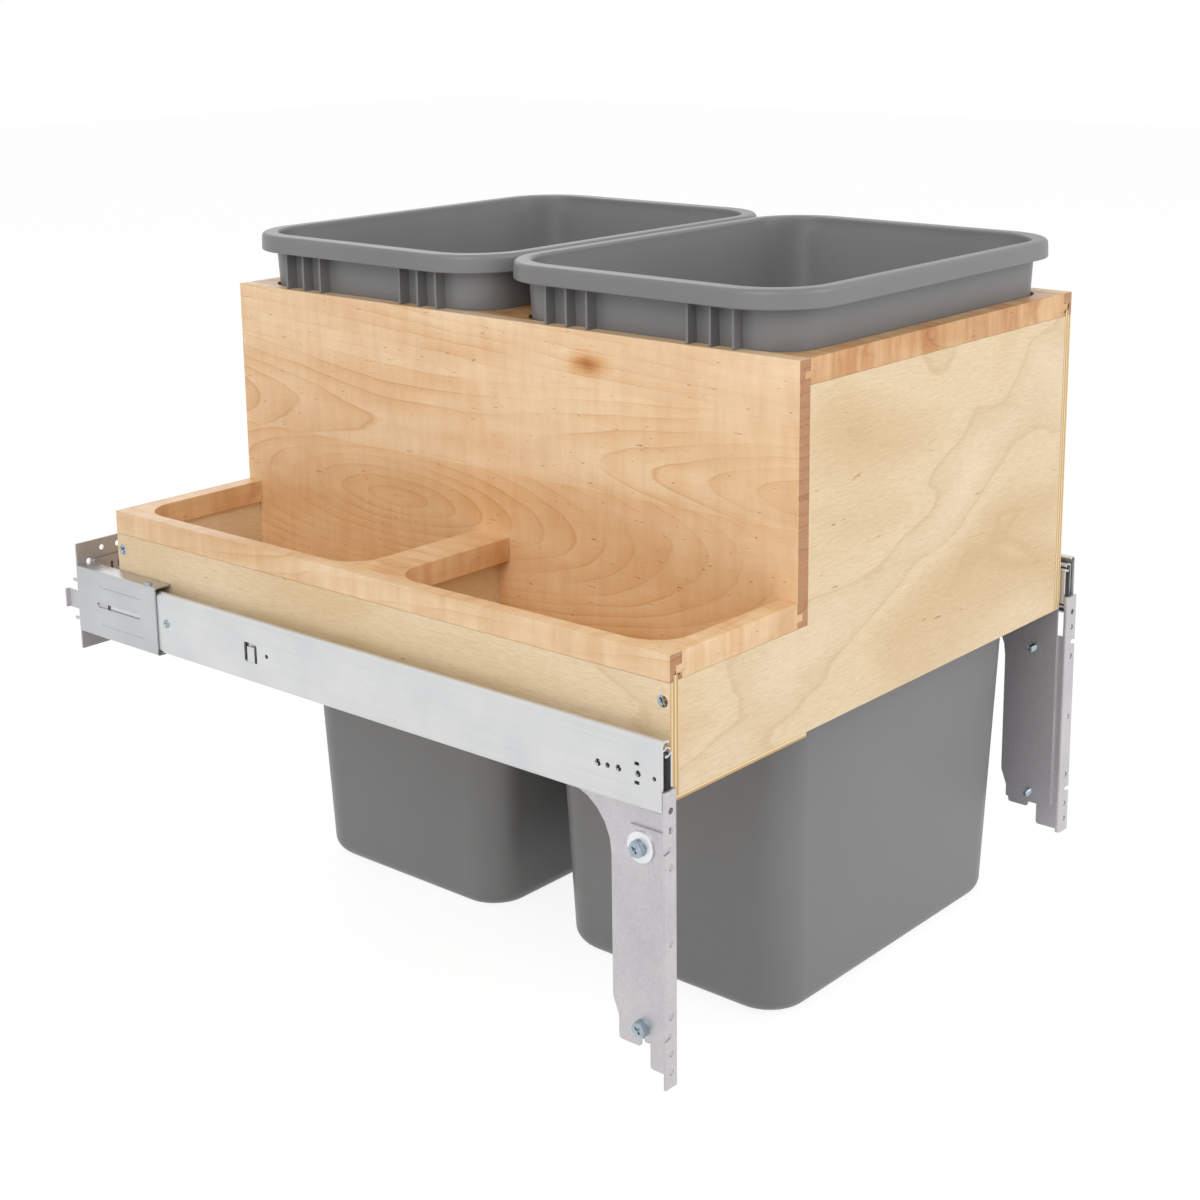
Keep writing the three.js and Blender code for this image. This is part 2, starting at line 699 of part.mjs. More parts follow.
// Ribs under the rim, outside both end walls; they stand on the bin frame.
function binRibs() {
  const face = rimLength / 2 - binBodyInsetX;
  const profile = [
    [face - binWall / 2, binFrameTop],
    [face + ribReach, binFrameTop],
    [face + ribReach, rimTop - binWall / 2],
    [rimLength / 2 - rimBandX + neckWall / 2, rimTop - binWall / 2],
    [face - binWall / 4, rimTop - lipHeight],
  ];
  const ribs = [];
  for (const sideX of [-1, 1]) {
    for (const sideY of [-1, 1]) {
      for (let i = 0; i < ribsPerGroup; i += 1) {
        const y = sideY * (ribInnerOffset + i * ribPitch);
        const points = outline(profile.map(([x, z]) => [sideX * x, z]));
        ribs.push(slab('y', points, y - ribThickness / 2, y + ribThickness / 2));
      }
    }
  }
  return ribs;
}

const bin = join(binBody(), ...binRibs());
for (const [name, side] of [['bin_front', -1], ['bin_rear', 1]]) {
  const mesh = add(name, bin, greyPlastic);
  mesh.position.set(binMiddleX, boxMiddle + side * binPitch / 2, 0);
}

// ---------------------------------------------------------------- ball-bearing slide sections

// Sections are drawn from the back of the drawer member outwards, and from the slide axis upwards.
const cabinetMiddle = slideThickness - cabinetWall / 2;
const outerRace = outerBallRadius + racePlay + cabinetWall / 2;
const outerBall = new THREE.Vector2(cabinetMiddle - outerRace, outerBallHeight);
const outerCageMiddle = slideThickness - cabinetWall - memberGap - cageWall / 2;
const intermediateMiddle = outerCageMiddle - cageWall / 2 - memberGap - intermediateWall / 2;
const grooveRadius = outerBallRadius + racePlay + intermediateWall / 2;
const archRadius = innerBallRadius + racePlay + intermediateWall / 2;
const innerCageMiddle = intermediateMiddle - intermediateWall / 2 - memberGap - cageWall / 2;
const innerBallInset = outerBall.x - innerBallOffset;
const innerBall = new THREE.Vector2(
  innerBallInset,
  outerBall.y - Math.sqrt((grooveRadius + archRadius) ** 2 - (outerBall.x - innerBallInset) ** 2),
);
const drawerRace = innerBallRadius + racePlay + drawerWall / 2;

// Centre of a small fold that meets a ball race of the given radius and a web at webAt.
function foldCentre(ball, race, webAt, side) {
  const x = webAt + side * foldRadius;
  return new THREE.Vector2(x, ball.y - Math.sqrt((race + foldRadius) ** 2 - (ball.x - x) ** 2));
}

function angleTo(from, to) {
  return Math.atan2(to.y - from.y, to.x - from.x);
}

// Half path of each member from the slide axis to the free edge of its upper flange.
function cabinetPath() {
  return [
    new THREE.Vector2(cabinetMiddle, 0),
    ...arc(outerBall.x, outerBall.y, outerRace, 0, 150 * degrees),
  ];
}

function intermediatePath() {
  const fold = foldCentre(outerBall, grooveRadius, intermediateMiddle, -1);
  const toGroove = angleTo(fold, outerBall);
  const toArch = angleTo(outerBall, innerBall);
  return [
    new THREE.Vector2(intermediateMiddle, 0),
    ...arc(fold.x, fold.y, foldRadius, 0, toGroove),
    ...arc(outerBall.x, outerBall.y, grooveRadius, toGroove - Math.PI, toArch).slice(1),
    ...arc(innerBall.x, innerBall.y, archRadius, toArch + Math.PI, 165 * degrees).slice(1),
  ];
}

function drawerPath() {
  const fold = foldCentre(innerBall, drawerRace, drawerWall / 2, 1);
  const toRace = angleTo(fold, innerBall);
  return [
    new THREE.Vector2(drawerWall / 2, 0),
    ...arc(fold.x, fold.y, foldRadius, Math.PI, toRace),
    ...arc(innerBall.x, innerBall.y, drawerRace, toRace - Math.PI, -50 * degrees).slice(1),
  ];
}

function wholePath(half) {
  const lower = half.slice(1).reverse().map((point) => new THREE.Vector2(point.x, -point.y));
  return [...lower, ...half.slice(1)];
}

// Section points become x (outwards is -x on the left side) and height.
function section(points) {
  return points.map((point) => new THREE.Vector2(-doorPlateWall - point.x, slideAxisHeight + point.y));
}

// Section of a member, drawn from its front end to its rear end.
function member(half, wall, front, rear) {
  return slab('y', section(sheetOutline(wholePath(half), wall)), front, rear);
}

// Hole through the web of the cabinet member.
function webHole(points) {
  return slab('x', points, -webFace - 1, -webFace + cabinetWall + 1);
}

const height = (above) => slideAxisHeight + above;
const windowFront = slideRear - windowSetback;
const windowRear = windowFront + windowLength;
const windowMiddle = (windowFront + windowRear) / 2;
const hookSlotFront = slideFront + hookSlotStart;
const cabinetHoles = [
  ...webHoles.map(([along, above, radius]) => circle(slideFront + along, height(above), radius)),
  ...hookSlotSpans.map(([low, high]) => (
    rectangle(hookSlotFront, height(low), hookSlotFront + hookSlotLength, height(high))
  )),
  circle(windowFront - windowHoleGap, slideAxisHeight, windowHoleRadius),
  outline([
    [windowFront, height(windowSpan[0]), windowRadius],
    [windowRear, height(windowSpan[0]), windowRadius],
    [windowRear, height(windowSpan[1]), windowRadius],
    [windowFront, height(windowSpan[1]), windowRadius],
  ]),
  circle(slideRear - rivetSetback, height(rivetHeight), rivetRadius + glueLine, roundSides),
].map(webHole);

// Tab lanced out of the window in the web.
const lancedTab = block(
  -webFace + tabSink, -webFace + cabinetWall,
  windowMiddle - tabLength / 2, windowMiddle + tabLength / 2,
  height(tabSpan[0]), height(tabSpan[1]),
);
const cabinetMember = join(
  cut(member(cabinetPath(), cabinetWall, slideFront, slideRear), ...cabinetHoles),
  lancedTab,
);
const intermediateMember = member(intermediatePath(), intermediateWall, innerFront, innerRear);

const drawerMember = cut(member(drawerPath(), drawerWall, innerFront, innerRear), ...slideScrewHoles);

// Ball cage: a steel strip with balls held in its upper and lower edges.
function ballCage(strip, ball, radius) {
  const spacing = cageLength / ballsPerRow;
  const balls = [];
  for (const side of [-1, 1]) {
    for (let i = 0; i < ballsPerRow; i += 1) {
      const centre = section([new THREE.Vector2(ball.x, side * ball.y)])[0];
      balls.push(new THREE.SphereGeometry(radius, 6, 4)
        .translate(centre.x, cageFront + spacing * (i + 0.5), centre.y));
    }
  }
  return join(slab('y', section(strip), cageFront, cageFront + cageLength), ...balls);
}

const outerCage = ballCage(sheetOutline([
  new THREE.Vector2(outerCageMiddle, -outerBall.y),
  new THREE.Vector2(outerCageMiddle, outerBall.y),
], cageWall), outerBall, outerBallRadius);

const innerCage = ballCage(sheetOutline([
  new THREE.Vector2(innerBall.x + innerBallRadius / 2, -innerBall.y),
  new THREE.Vector2(innerCageMiddle, -innerBall.y),
  new THREE.Vector2(innerCageMiddle, innerBall.y),
  new THREE.Vector2(innerBall.x + innerBallRadius / 2, innerBall.y),
], cageWall), innerBall, innerBallRadius);

// Rivet that holds the soft-close unit in the cabinet member.
const rivet = turned([
  [-webFace - rivetHeadHeight, 0],
  [-webFace - rivetHeadHeight, rivetHeadTop],
  [-webFace, rivetHeadRadius],
  [-webFace, rivetRadius],
  [-webFace + cabinetWall, rivetRadius],
  [-webFace + cabinetWall, 0],
], slideRear - rivetSetback, height(rivetHeight));

// Soft-close unit: base, catch track, damper tube with its rod, and the catch.
const damperFront = innerRear + damperGap;
const damperRear = slideRear - damperSetback;
const damperBase = -webFace + cabinetWall;
const damperBaseTop = damperBase + glueLine + damperBaseWall;
const damperTop = damperBase + damperBodyDepth;
const damperTube = damperBase + damperTubeDepth;
const damperCatch = damperFront + damperCatchStart;
const damperTubeFront = damperFront + damperTubeStart;
const softCloseUnit = join(
  block(damperBase + glueLine, damperBaseTop, damperFront, damperRear,
    height(-damperHalfHeight), height(damperHalfHeight)),
  block(damperBaseTop - glueLine, damperTop, damperFront, damperRear, ...damperTrackSpan.map(height)),
  slab('y', circle(damperTube, height(damperTubeHeight), damperTubeRadius, roundSides),
    damperTubeFront, damperRear),
  slab('y', circle(damperTube, height(damperTubeHeight), damperRodRadius), damperCatch, damperTubeFront + 1),
  block(damperBaseTop - glueLine, damperTop, damperCatch, damperCatch + damperCatchLength,
    ...damperCatchSpan.map(height)),
);

// ---------------------------------------------------------------- rear sockets

const sleeveMiddle = slideAxisHeight + sleeveLift;
const sleeveInner = -webFace - sleevePlay;
const sleeveOuter = sleeveInner - sleeveWall;
const [sleeveTop, sleeveBottom] = [sleeveMiddle + sleeveHeight / 2, sleeveMiddle - sleeveHeight / 2];
const sleeveEdge = sleeveOuter + sleeveDepth;
const sleeveSection = sheetOutline(outline([
  [sleeveEdge, sleeveBottom + sleeveWall / 2],
  [sleeveOuter + sleeveWall / 2, sleeveBottom + sleeveWall / 2, sleeveBend],
  [sleeveOuter + sleeveWall / 2, sleeveTop - sleeveWall / 2, sleeveBend],
  [sleeveEdge, sleeveTop - sleeveWall / 2],
]), sleeveWall);

// Long slot with round ends along the sleeve.
function lengthwise([fromFront, fromRear], middle, width, x0, x1) {
  const [y0, y1] = [sleeveFront + fromFront, sleeveRear - fromRear];
  const [z0, z1] = [middle - width / 2, middle + width / 2];
  const radius = width / 2 - glueLine;
  return slab('x', outline([[y0, z0, radius], [y1, z0, radius], [y1, z1, radius], [y0, z1, radius]]), x0, x1);
}

const sleeveSlot = lengthwise(
  sleeveSlotEnds, sleeveMiddle, sleeveSlotWidth, sleeveOuter - 1, sleeveInner + 1,
);

// Grooves pressed into the outer face above and below the slot.
const sleeveGrooves = [-1, 1].map((side) => lengthwise(
  sleeveGrooveEnds, sleeveMiddle + side * sleeveGrooveOffset, sleeveGrooveWidth,
  sleeveOuter - 1, sleeveOuter + sleeveGrooveDepth,
));

const clampScrewY = sleeveFront + clampScrewFromEnd;
const clampScrewX = sleeveOuter + clampScrewInset;
const memberTop = height(outerBall.y + outerRace + cabinetWall / 2);

function clampScrew(play) {
  const profile = [
    [memberTop + racePlay, 0],
    [memberTop + racePlay, clampScrewRadius + play],
    [sleeveTop, clampScrewRadius + play],
    [sleeveTop, clampHeadRadius],
    [sleeveTop + clampHeadRim, clampHeadRadius],
    [sleeveTop + clampHeadHeight, clampHeadTop],
    [sleeveTop + clampHeadHeight, 0],
  ];
  return new THREE.LatheGeometry(profile.map(([z, radius]) => new THREE.Vector2(radius, z)), roundSides)
    .rotateX(Math.PI / 2)
    .translate(clampScrewX, clampScrewY, 0);
}

const rearSleeve = cut(
  slab('y', sleeveSection, sleeveFront, sleeveRear),
  sleeveSlot,
  ...sleeveGrooves,
  clampScrew(glueLine),
);

// Angle behind the slide: its leg lies in the sleeve, its plate takes the screws to the cabinet back.
const legOuter = sleeveInner + glueLine;
const legInner = legOuter + backPlateWall;
const plateFront = sleeveRear + sleevePlay;
const plateRear = plateFront + backPlateWall;
const plateRight = legOuter + backPlateWidth;
const hookRear = plateRear + hookReach;
const hookSpan = [height(hookMiddle - hookHeight / 2), height(hookMiddle + hookHeight / 2)];
const padLeft = legOuter + padInset;
const padRear = plateFront - padLift;
const padFront = padRear - padWall;
const backPlate = slab('y', outline([
  [legOuter, backPlateBottom, 1],
  [plateRight, backPlateBottom, backPlateRadius],
  [plateRight, backPlateTop, backPlateRadius],
  [legOuter, backPlateTop, 1],
]), plateFront, plateRear);
const rearBracket = join(
  cut(backPlate, ...backPlateHoles.map(([across, z]) => (
    slab('y', circle(legOuter + across, z, backPlateHoleRadius), plateFront - 1, plateRear + 1)
  ))),
  block(legOuter, legInner, slideRear + legOverlap, plateRear,
    sleeveBottom + legOverlap, sleeveTop - legOverlap),
  // raised pad with its slots, joined to the plate along one edge
  cut(
    block(padLeft, plateRight - padMargin, padFront, padRear, ...padSpan.map(height)),
    ...padSlotOffsets.map((offset) => legOuter + offset).map((x) => (
      block(x, x + padSlotWidth, padFront - 1, padRear + 1, ...padSlotSpan.map(height))
    )),
  ),
  block(padLeft, padLeft + padWall, padFront, plateFront + glueLine, ...padSpan.map(height)),
  // hook with its turned end, and the two locating pins
  block(legOuter, legInner, plateFront, hookRear, ...hookSpan),
  block(legOuter - hookLip, legInner, hookRear - backPlateWall, hookRear, ...hookSpan),
  ...[-1, 1].map((side) => slab('y', circle(
    legOuter + pinRadius + glueLine, height(hookMiddle + side * pinSpacing / 2), pinRadius,
  ), plateFront + glueLine, plateRear + pinReach)),
);

// ---------------------------------------------------------------- door brackets

const armTop = slideAxisHeight + doorPlateArmHeight / 2;
const armBottom = slideAxisHeight - doorPlateArmHeight / 2;
const flareRoot = armBottom - doorPlateFlareDrop;

function boltHole(z) {
  return slab('x', circle(boltFromFront, z, boltRadius + boltPlay, roundSides), -doorFlangeWidth, 1);
}

// Fixed plate: a long arm behind the drawer member and a drop leg with a flared root.
const doorPlate = cut(
  slab('x', outline([
    [doorPlateFront, armTop, 3],
    [doorPlateFront, doorPlateBottom, 4],
    [doorPlateDepth - doorPlateHeel, doorPlateBottom, 2],
    [doorPlateDepth - doorPlateHeel, doorPlateBottom + doorPlateHeelSpan[0], 6],
    [doorPlateDepth, doorPlateBottom + doorPlateHeelSpan[1], 12],
    [doorPlateDepth, flareRoot, doorPlateFlareRadius],
    [doorPlateDepth + doorPlateFlareReach, flareRoot, 6],
    [doorPlateDepth + doorPlateFlareReach, armBottom, 4],
    [innerRear, armBottom, 3],
    [innerRear, armTop, 3],
  ]), -doorPlateWall, 0),
  boltHole(upperBoltHeight),
  boltHole(lowerBoltHeight),
  ...slideScrewHoles,
);

// Adjustable angle: the flange takes the door, the leaf is bolted to the fixed plate.
const leafInner = -doorPlateWall;
const leafOuter = leafInner - doorBracketWall;
const flangeRear = slideFront - doorFlangeGap;
const flangeFront = flangeRear - doorBracketWall;
const flangeOuter = leafInner - doorFlangeWidth;
const flangeMiddle = (flangeOuter + leafInner) / 2;
const leafFront = innerFront - memberGap;
const bendStrip = slab('z', sheetOutline(outline([
  [flangeOuter, flangeRear - doorBracketWall / 2],
  [leafInner - doorBracketWall / 2, flangeRear - doorBracketWall / 2, doorFlangeBend],
  [leafInner - doorBracketWall / 2, leafFront],
]), doorBracketWall), doorFlangeBottom, doorFlangeTop);

const leafBottom = doorFlangeBottom + leafFootLift;
const leafFoot = boltFromFront - leafFootInset;
const leafNotch = lowerBoltHeight - leafNotchDrop;
const leafSlot = [boltFromFront - leafSlotWidth / 2, boltFromFront + leafSlotWidth / 2];
const leafTab = lowerBoltHeight - leafTabDrop;
const leafRear = doorPlateDepth - leafTabInset;
const leafWaist = boltFromFront - leafWaistInset;
const leafHeadRear = boltFromFront + leafHeadReach;
const leafHeadBottom = upperBoltHeight - leafHeadDrop;
const leafTop = upperBoltHeight + leafHeadRise;
const leafOutline = outline([
  [leafFront - 1, leafBottom],
  [leafFoot, leafBottom, 2.5],
  [leafFoot, leafNotch],
  [leafSlot[0], leafNotch, 1],
  [leafSlot[0], lowerBoltHeight],
  [leafSlot[1], lowerBoltHeight],
  [leafSlot[1], leafTab, 2],
  [leafRear, leafTab, 2.5],
  [leafRear, upperBoltHeight - leafWaistDrops[1], 6],
  [leafWaist, upperBoltHeight - leafWaistDrops[0], 6],
  [leafWaist, leafHeadBottom],
  [leafHeadRear, leafHeadBottom, 1.5],
  [leafHeadRear, leafTop, 1.5],
  [leafFront - 1, leafTop],
]);

// Slanted notch from the free edge of the flange.
function flangeNotch(z) {
  return slab('y', outline([
    [flangeOuter - 1, z - 3],
    [flangeMiddle, z - 1.6, 1.5],
    [flangeMiddle, z + 2.2, 1.5],
    [flangeOuter - 1, z + 0.8],
  ]), flangeFront - 1, flangeRear + 1);
}

function flangeHole(z) {
  const points = circle(flangeMiddle - doorHoleShift, z, doorHoleRadius);
  return slab('y', points, flangeFront - 1, flangeRear + 1);
}

const doorBracket = cut(
  join(bendStrip, slab('x', leafOutline, leafOuter, leafInner)),
  ...doorHoleDrops.map((drop) => flangeHole(doorFlangeTop - drop)),
  ...doorNotchDrops.map((drop) => flangeNotch(doorFlangeTop - drop)),
  boltHole(upperBoltHeight),
  boltHole(lowerBoltHeight),
);

// Flanged hex bolt that grips the leaf, or the washer that lies on it.
function bolt(z, gripFace) {
  const flange = gripFace - boltFlangeHeight;
  const body = turned([
    [flange, 0],
    [flange, boltFlangeRadius],
    [gripFace, boltFlangeRadius],
    [gripFace, boltRadius],
    [boltEnd - boltChamfer, boltRadius],
    [boltEnd, boltRadius - boltChamfer],
    [boltEnd, 0],
  ], boltFromFront, z);
  const hexagon = circle(boltFromFront, z, boltHeadAcross / Math.sqrt(3), 6);
  return join(body, slab('x', hexagon, flange - boltHeadHeight, flange + glueLine));
}

const washerFace = leafOuter - washerThickness;
const washer = cut(
  slab('x', circle(boltFromFront, upperBoltHeight, washerRadius, washerSides), washerFace, leafOuter),
  boltHole(upperBoltHeight),
);

// ---------------------------------------------------------------- both sides

const sidePieces = [
  ['cabinet_member', cabinetMember, zincSteel],
  ['outer_ball_cage', outerCage, zincSteel],
  ['intermediate_member', intermediateMember, zincSteel],
  ['inner_ball_cage', innerCage, zincSteel],
  ['drawer_member', drawerMember, zincSteel],
  ['slide_rivet', rivet, zincSteel],
  ['soft_close_unit', softCloseUnit, darkPlastic],
  ['rear_sleeve', rearSleeve, zincSteel],
  ['sleeve_clamp_screw', clampScrew(0), boltSteel],
  ['rear_bracket', rearBracket, bracketSteel],
  ['door_plate', doorPlate, bracketSteel],
  ['door_bracket', doorBracket, bracketSteel],
  ['upper_bolt', bolt(upperBoltHeight, washerFace), boltSteel],
  ['upper_bolt_washer', washer, boltSteel],
  ['lower_bolt', bolt(lowerBoltHeight, leafOuter), boltSteel],
  ['slide_screw_front', slideScrew(slideScrewPositions[0]), boltSteel],
  ['slide_screw_rear', slideScrew(slideScrewPositions[1]), boltSteel],
];
for (const [name, geometry, finish] of sidePieces) {
  add(`${name}_left`, geometry, finish);
  add(`${name}_right`, mirrored(geometry), finish);
}

// The origin is the middle of the footprint, at the level of the bins' undersides.
const bounds = new THREE.Box3().setFromObject(group);
const middle = bounds.getCenter(new THREE.Vector3());
group.position.set(-middle.x, -middle.y, -bounds.min.z);
group.updateMatrixWorld(true);

export default group;
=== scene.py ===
import math

import bmesh
import bpy
from mathutils import Matrix, Vector


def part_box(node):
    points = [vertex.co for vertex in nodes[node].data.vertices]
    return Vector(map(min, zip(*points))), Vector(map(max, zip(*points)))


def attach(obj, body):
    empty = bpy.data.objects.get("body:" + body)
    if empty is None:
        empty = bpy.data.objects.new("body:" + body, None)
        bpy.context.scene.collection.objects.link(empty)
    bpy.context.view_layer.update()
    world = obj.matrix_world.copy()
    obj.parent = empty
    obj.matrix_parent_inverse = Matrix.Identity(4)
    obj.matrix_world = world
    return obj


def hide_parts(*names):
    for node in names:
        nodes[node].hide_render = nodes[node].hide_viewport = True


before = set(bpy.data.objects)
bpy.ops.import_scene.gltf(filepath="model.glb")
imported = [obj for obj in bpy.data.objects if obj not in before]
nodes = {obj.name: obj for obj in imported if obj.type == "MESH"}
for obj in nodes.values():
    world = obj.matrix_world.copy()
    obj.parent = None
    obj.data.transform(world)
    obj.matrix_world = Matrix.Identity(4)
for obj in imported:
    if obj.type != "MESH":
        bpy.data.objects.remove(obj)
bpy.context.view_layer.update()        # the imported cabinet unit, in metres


# --- Camera ---------------------------------------------------------------------------------
# The photograph is taken from the tray side, a little above the rims of the bins, with the
# lens shifted down so that the upright edges of the box stay nearly upright.
camera = bpy.data.objects.new("photo_camera", bpy.data.cameras.new("photo_camera"))
camera.data.sensor_width = 36
camera.data.lens = 61.28
camera.data.shift_x = -0.0236
camera.data.shift_y = -0.1306
camera.data.clip_start, camera.data.clip_end = 0.05, 50
camera.location = (-1.17694, -1.05247, 0.7436)
camera.rotation_euler = [math.radians(angle) for angle in (76.9824, 0.4819, -49.954)]
bpy.context.scene.collection.objects.link(camera)
bpy.context.scene.camera = camera
bpy.context.scene.view_settings.view_transform = "Standard"


# --- Studio: white paper floor and white surround -------------------------------------------
# A flat sheet of white paper under the unit, and a white surround behind it. Rays from the lens
# and mirror-like rays meet plain white, and only part of the soft shadow under the bins is kept.
def linear(colour):
    """sRGB hex to the linear RGBA that Blender's sockets take."""
    parts = [int(colour[i:i + 2], 16) / 255 for i in (1, 3, 5)]
    return [c / 12.92 if c <= 0.04045 else ((c + 0.055) / 1.055) ** 2.4 for c in parts] + [1]


def add_node(tree, kind, links=None, stops=(), **settings):
    """One shader node: links gives each input a socket to follow or a value, stops a ramp's colours."""
    made = tree.nodes.new("ShaderNode" + kind)
    for name, value in settings.items():
        setattr(made, name, value)
    for name, value in (links or {}).items():
        if isinstance(value, bpy.types.NodeSocket):
            tree.links.new(value, made.inputs[name])
        else:
            made.inputs[name].default_value = value
    for i, (place, colour) in enumerate(stops):
        element = made.color_ramp.elements[i] if i < 2 else made.color_ramp.elements.new(place)
        element.position = place
        element.color = linear(colour)
    return made


world = bpy.data.worlds.new("white_surround")
world.use_nodes = True
world.node_tree.nodes.clear()
rays = add_node(world.node_tree, "LightPath")
mirrored = add_node(world.node_tree, "Math", {
    0: rays.outputs["Is Camera Ray"], 1: rays.outputs["Is Glossy Ray"]}, operation="MAXIMUM")
seen = add_node(world.node_tree, "Math", {0: mirrored.outputs[0], 1: rays.outputs["Is Transmission Ray"]},
                operation="MAXIMUM")
soft = add_node(world.node_tree, "Background", {"Color": linear("#F4F6FA"), "Strength": 0.62})
white = add_node(world.node_tree, "Background", {"Color": linear("#FFFFFF"), "Strength": 1.0})
surround = add_node(world.node_tree, "MixShader", {
    0: seen.outputs[0], 1: soft.outputs[0], 2: white.outputs[0]})
add_node(world.node_tree, "OutputWorld", {"Surface": surround.outputs[0]})
bpy.context.scene.world = world


def new_material(name):
    """An empty node material."""
    made = bpy.data.materials.new(name)
    made.use_nodes = True
    made.node_tree.nodes.clear()
    return made


PAPER_HALF, PAPER_Z = 8, -0.0005        # metres: half its side, and just below the bins
PAPER_GLOW_SHARE = 0.8                  # of the white; the rest shows the soft shadow
paper = new_material("white_paper_matte")
tree = paper.node_tree
rays = add_node(tree, "LightPath")
mirrored = add_node(tree, "Math", {
    0: rays.outputs["Is Camera Ray"], 1: rays.outputs["Is Glossy Ray"]}, operation="MAXIMUM")
kept = add_node(tree, "Math", {0: mirrored.outputs[0], 1: PAPER_GLOW_SHARE}, operation="MULTIPLY")
sheet = add_node(tree, "BsdfDiffuse", {"Color": linear("#F6F6F6")})
glow = add_node(tree, "Emission", {"Color": linear("#FFFFFF"), "Strength": 1.1})
mix = add_node(tree, "MixShader", {0: kept.outputs[0], 1: sheet.outputs[0], 2: glow.outputs[0]})
add_node(tree, "OutputMaterial", {"Surface": mix.outputs[0]})

floor_mesh = bpy.data.meshes.new("paper_floor")
floor_mesh.from_pydata([(x * PAPER_HALF, y * PAPER_HALF, PAPER_Z)
                        for x, y in ((-1, -1), (1, -1), (1, 1), (-1, 1))], [], [(0, 1, 2, 3)])
floor_mesh.materials.append(paper)
paper_floor = bpy.data.objects.new("paper_floor", floor_mesh)
bpy.context.scene.collection.objects.link(paper_floor)


# --- Studio lamps ---------------------------------------------------------------------------
# Three large soft boxes: one over the tray side, one in front, and a weak one behind that
# draws the far rims. Together with the surround a pale colour renders about as written.
for lamp_name, place, aim, size, power in [
    ("softbox_tray_side", (-2.4, -0.9, 2.1), (0, 0, 0.3), 1.8, 34),
    ("softbox_front", (0.9, -2.7, 1.7), (0, 0, 0.3), 1.8, 26),
    ("softbox_behind", (1.6, 2.2, 2.4), (0, 0, 0.3), 1.6, 16),
]:
    lamp = bpy.data.objects.new(lamp_name, bpy.data.lights.new(lamp_name, "AREA"))
    lamp.data.shape = "SQUARE"
    lamp.data.size = size
    lamp.data.energy = power
    lamp.location = place
    lamp.rotation_euler = (Vector(aim) - Vector(place)).to_track_quat("-Z", "Y").to_euler()
    bpy.context.scene.collection.objects.link(lamp)


# --- Plywood panels -------------------------------------------------------------------------
# Birch plywood 12 mm thick, the tray floor 3.2 mm: rotary-cut birch veneers glued crosswise
# and pressed. Sawn to size, sanded and clear-lacquered. The peeled face shows wide pale
# contours like a map, and the sawn edges show the layers.
PLY_SPACING = 1.7          # mm, one veneer


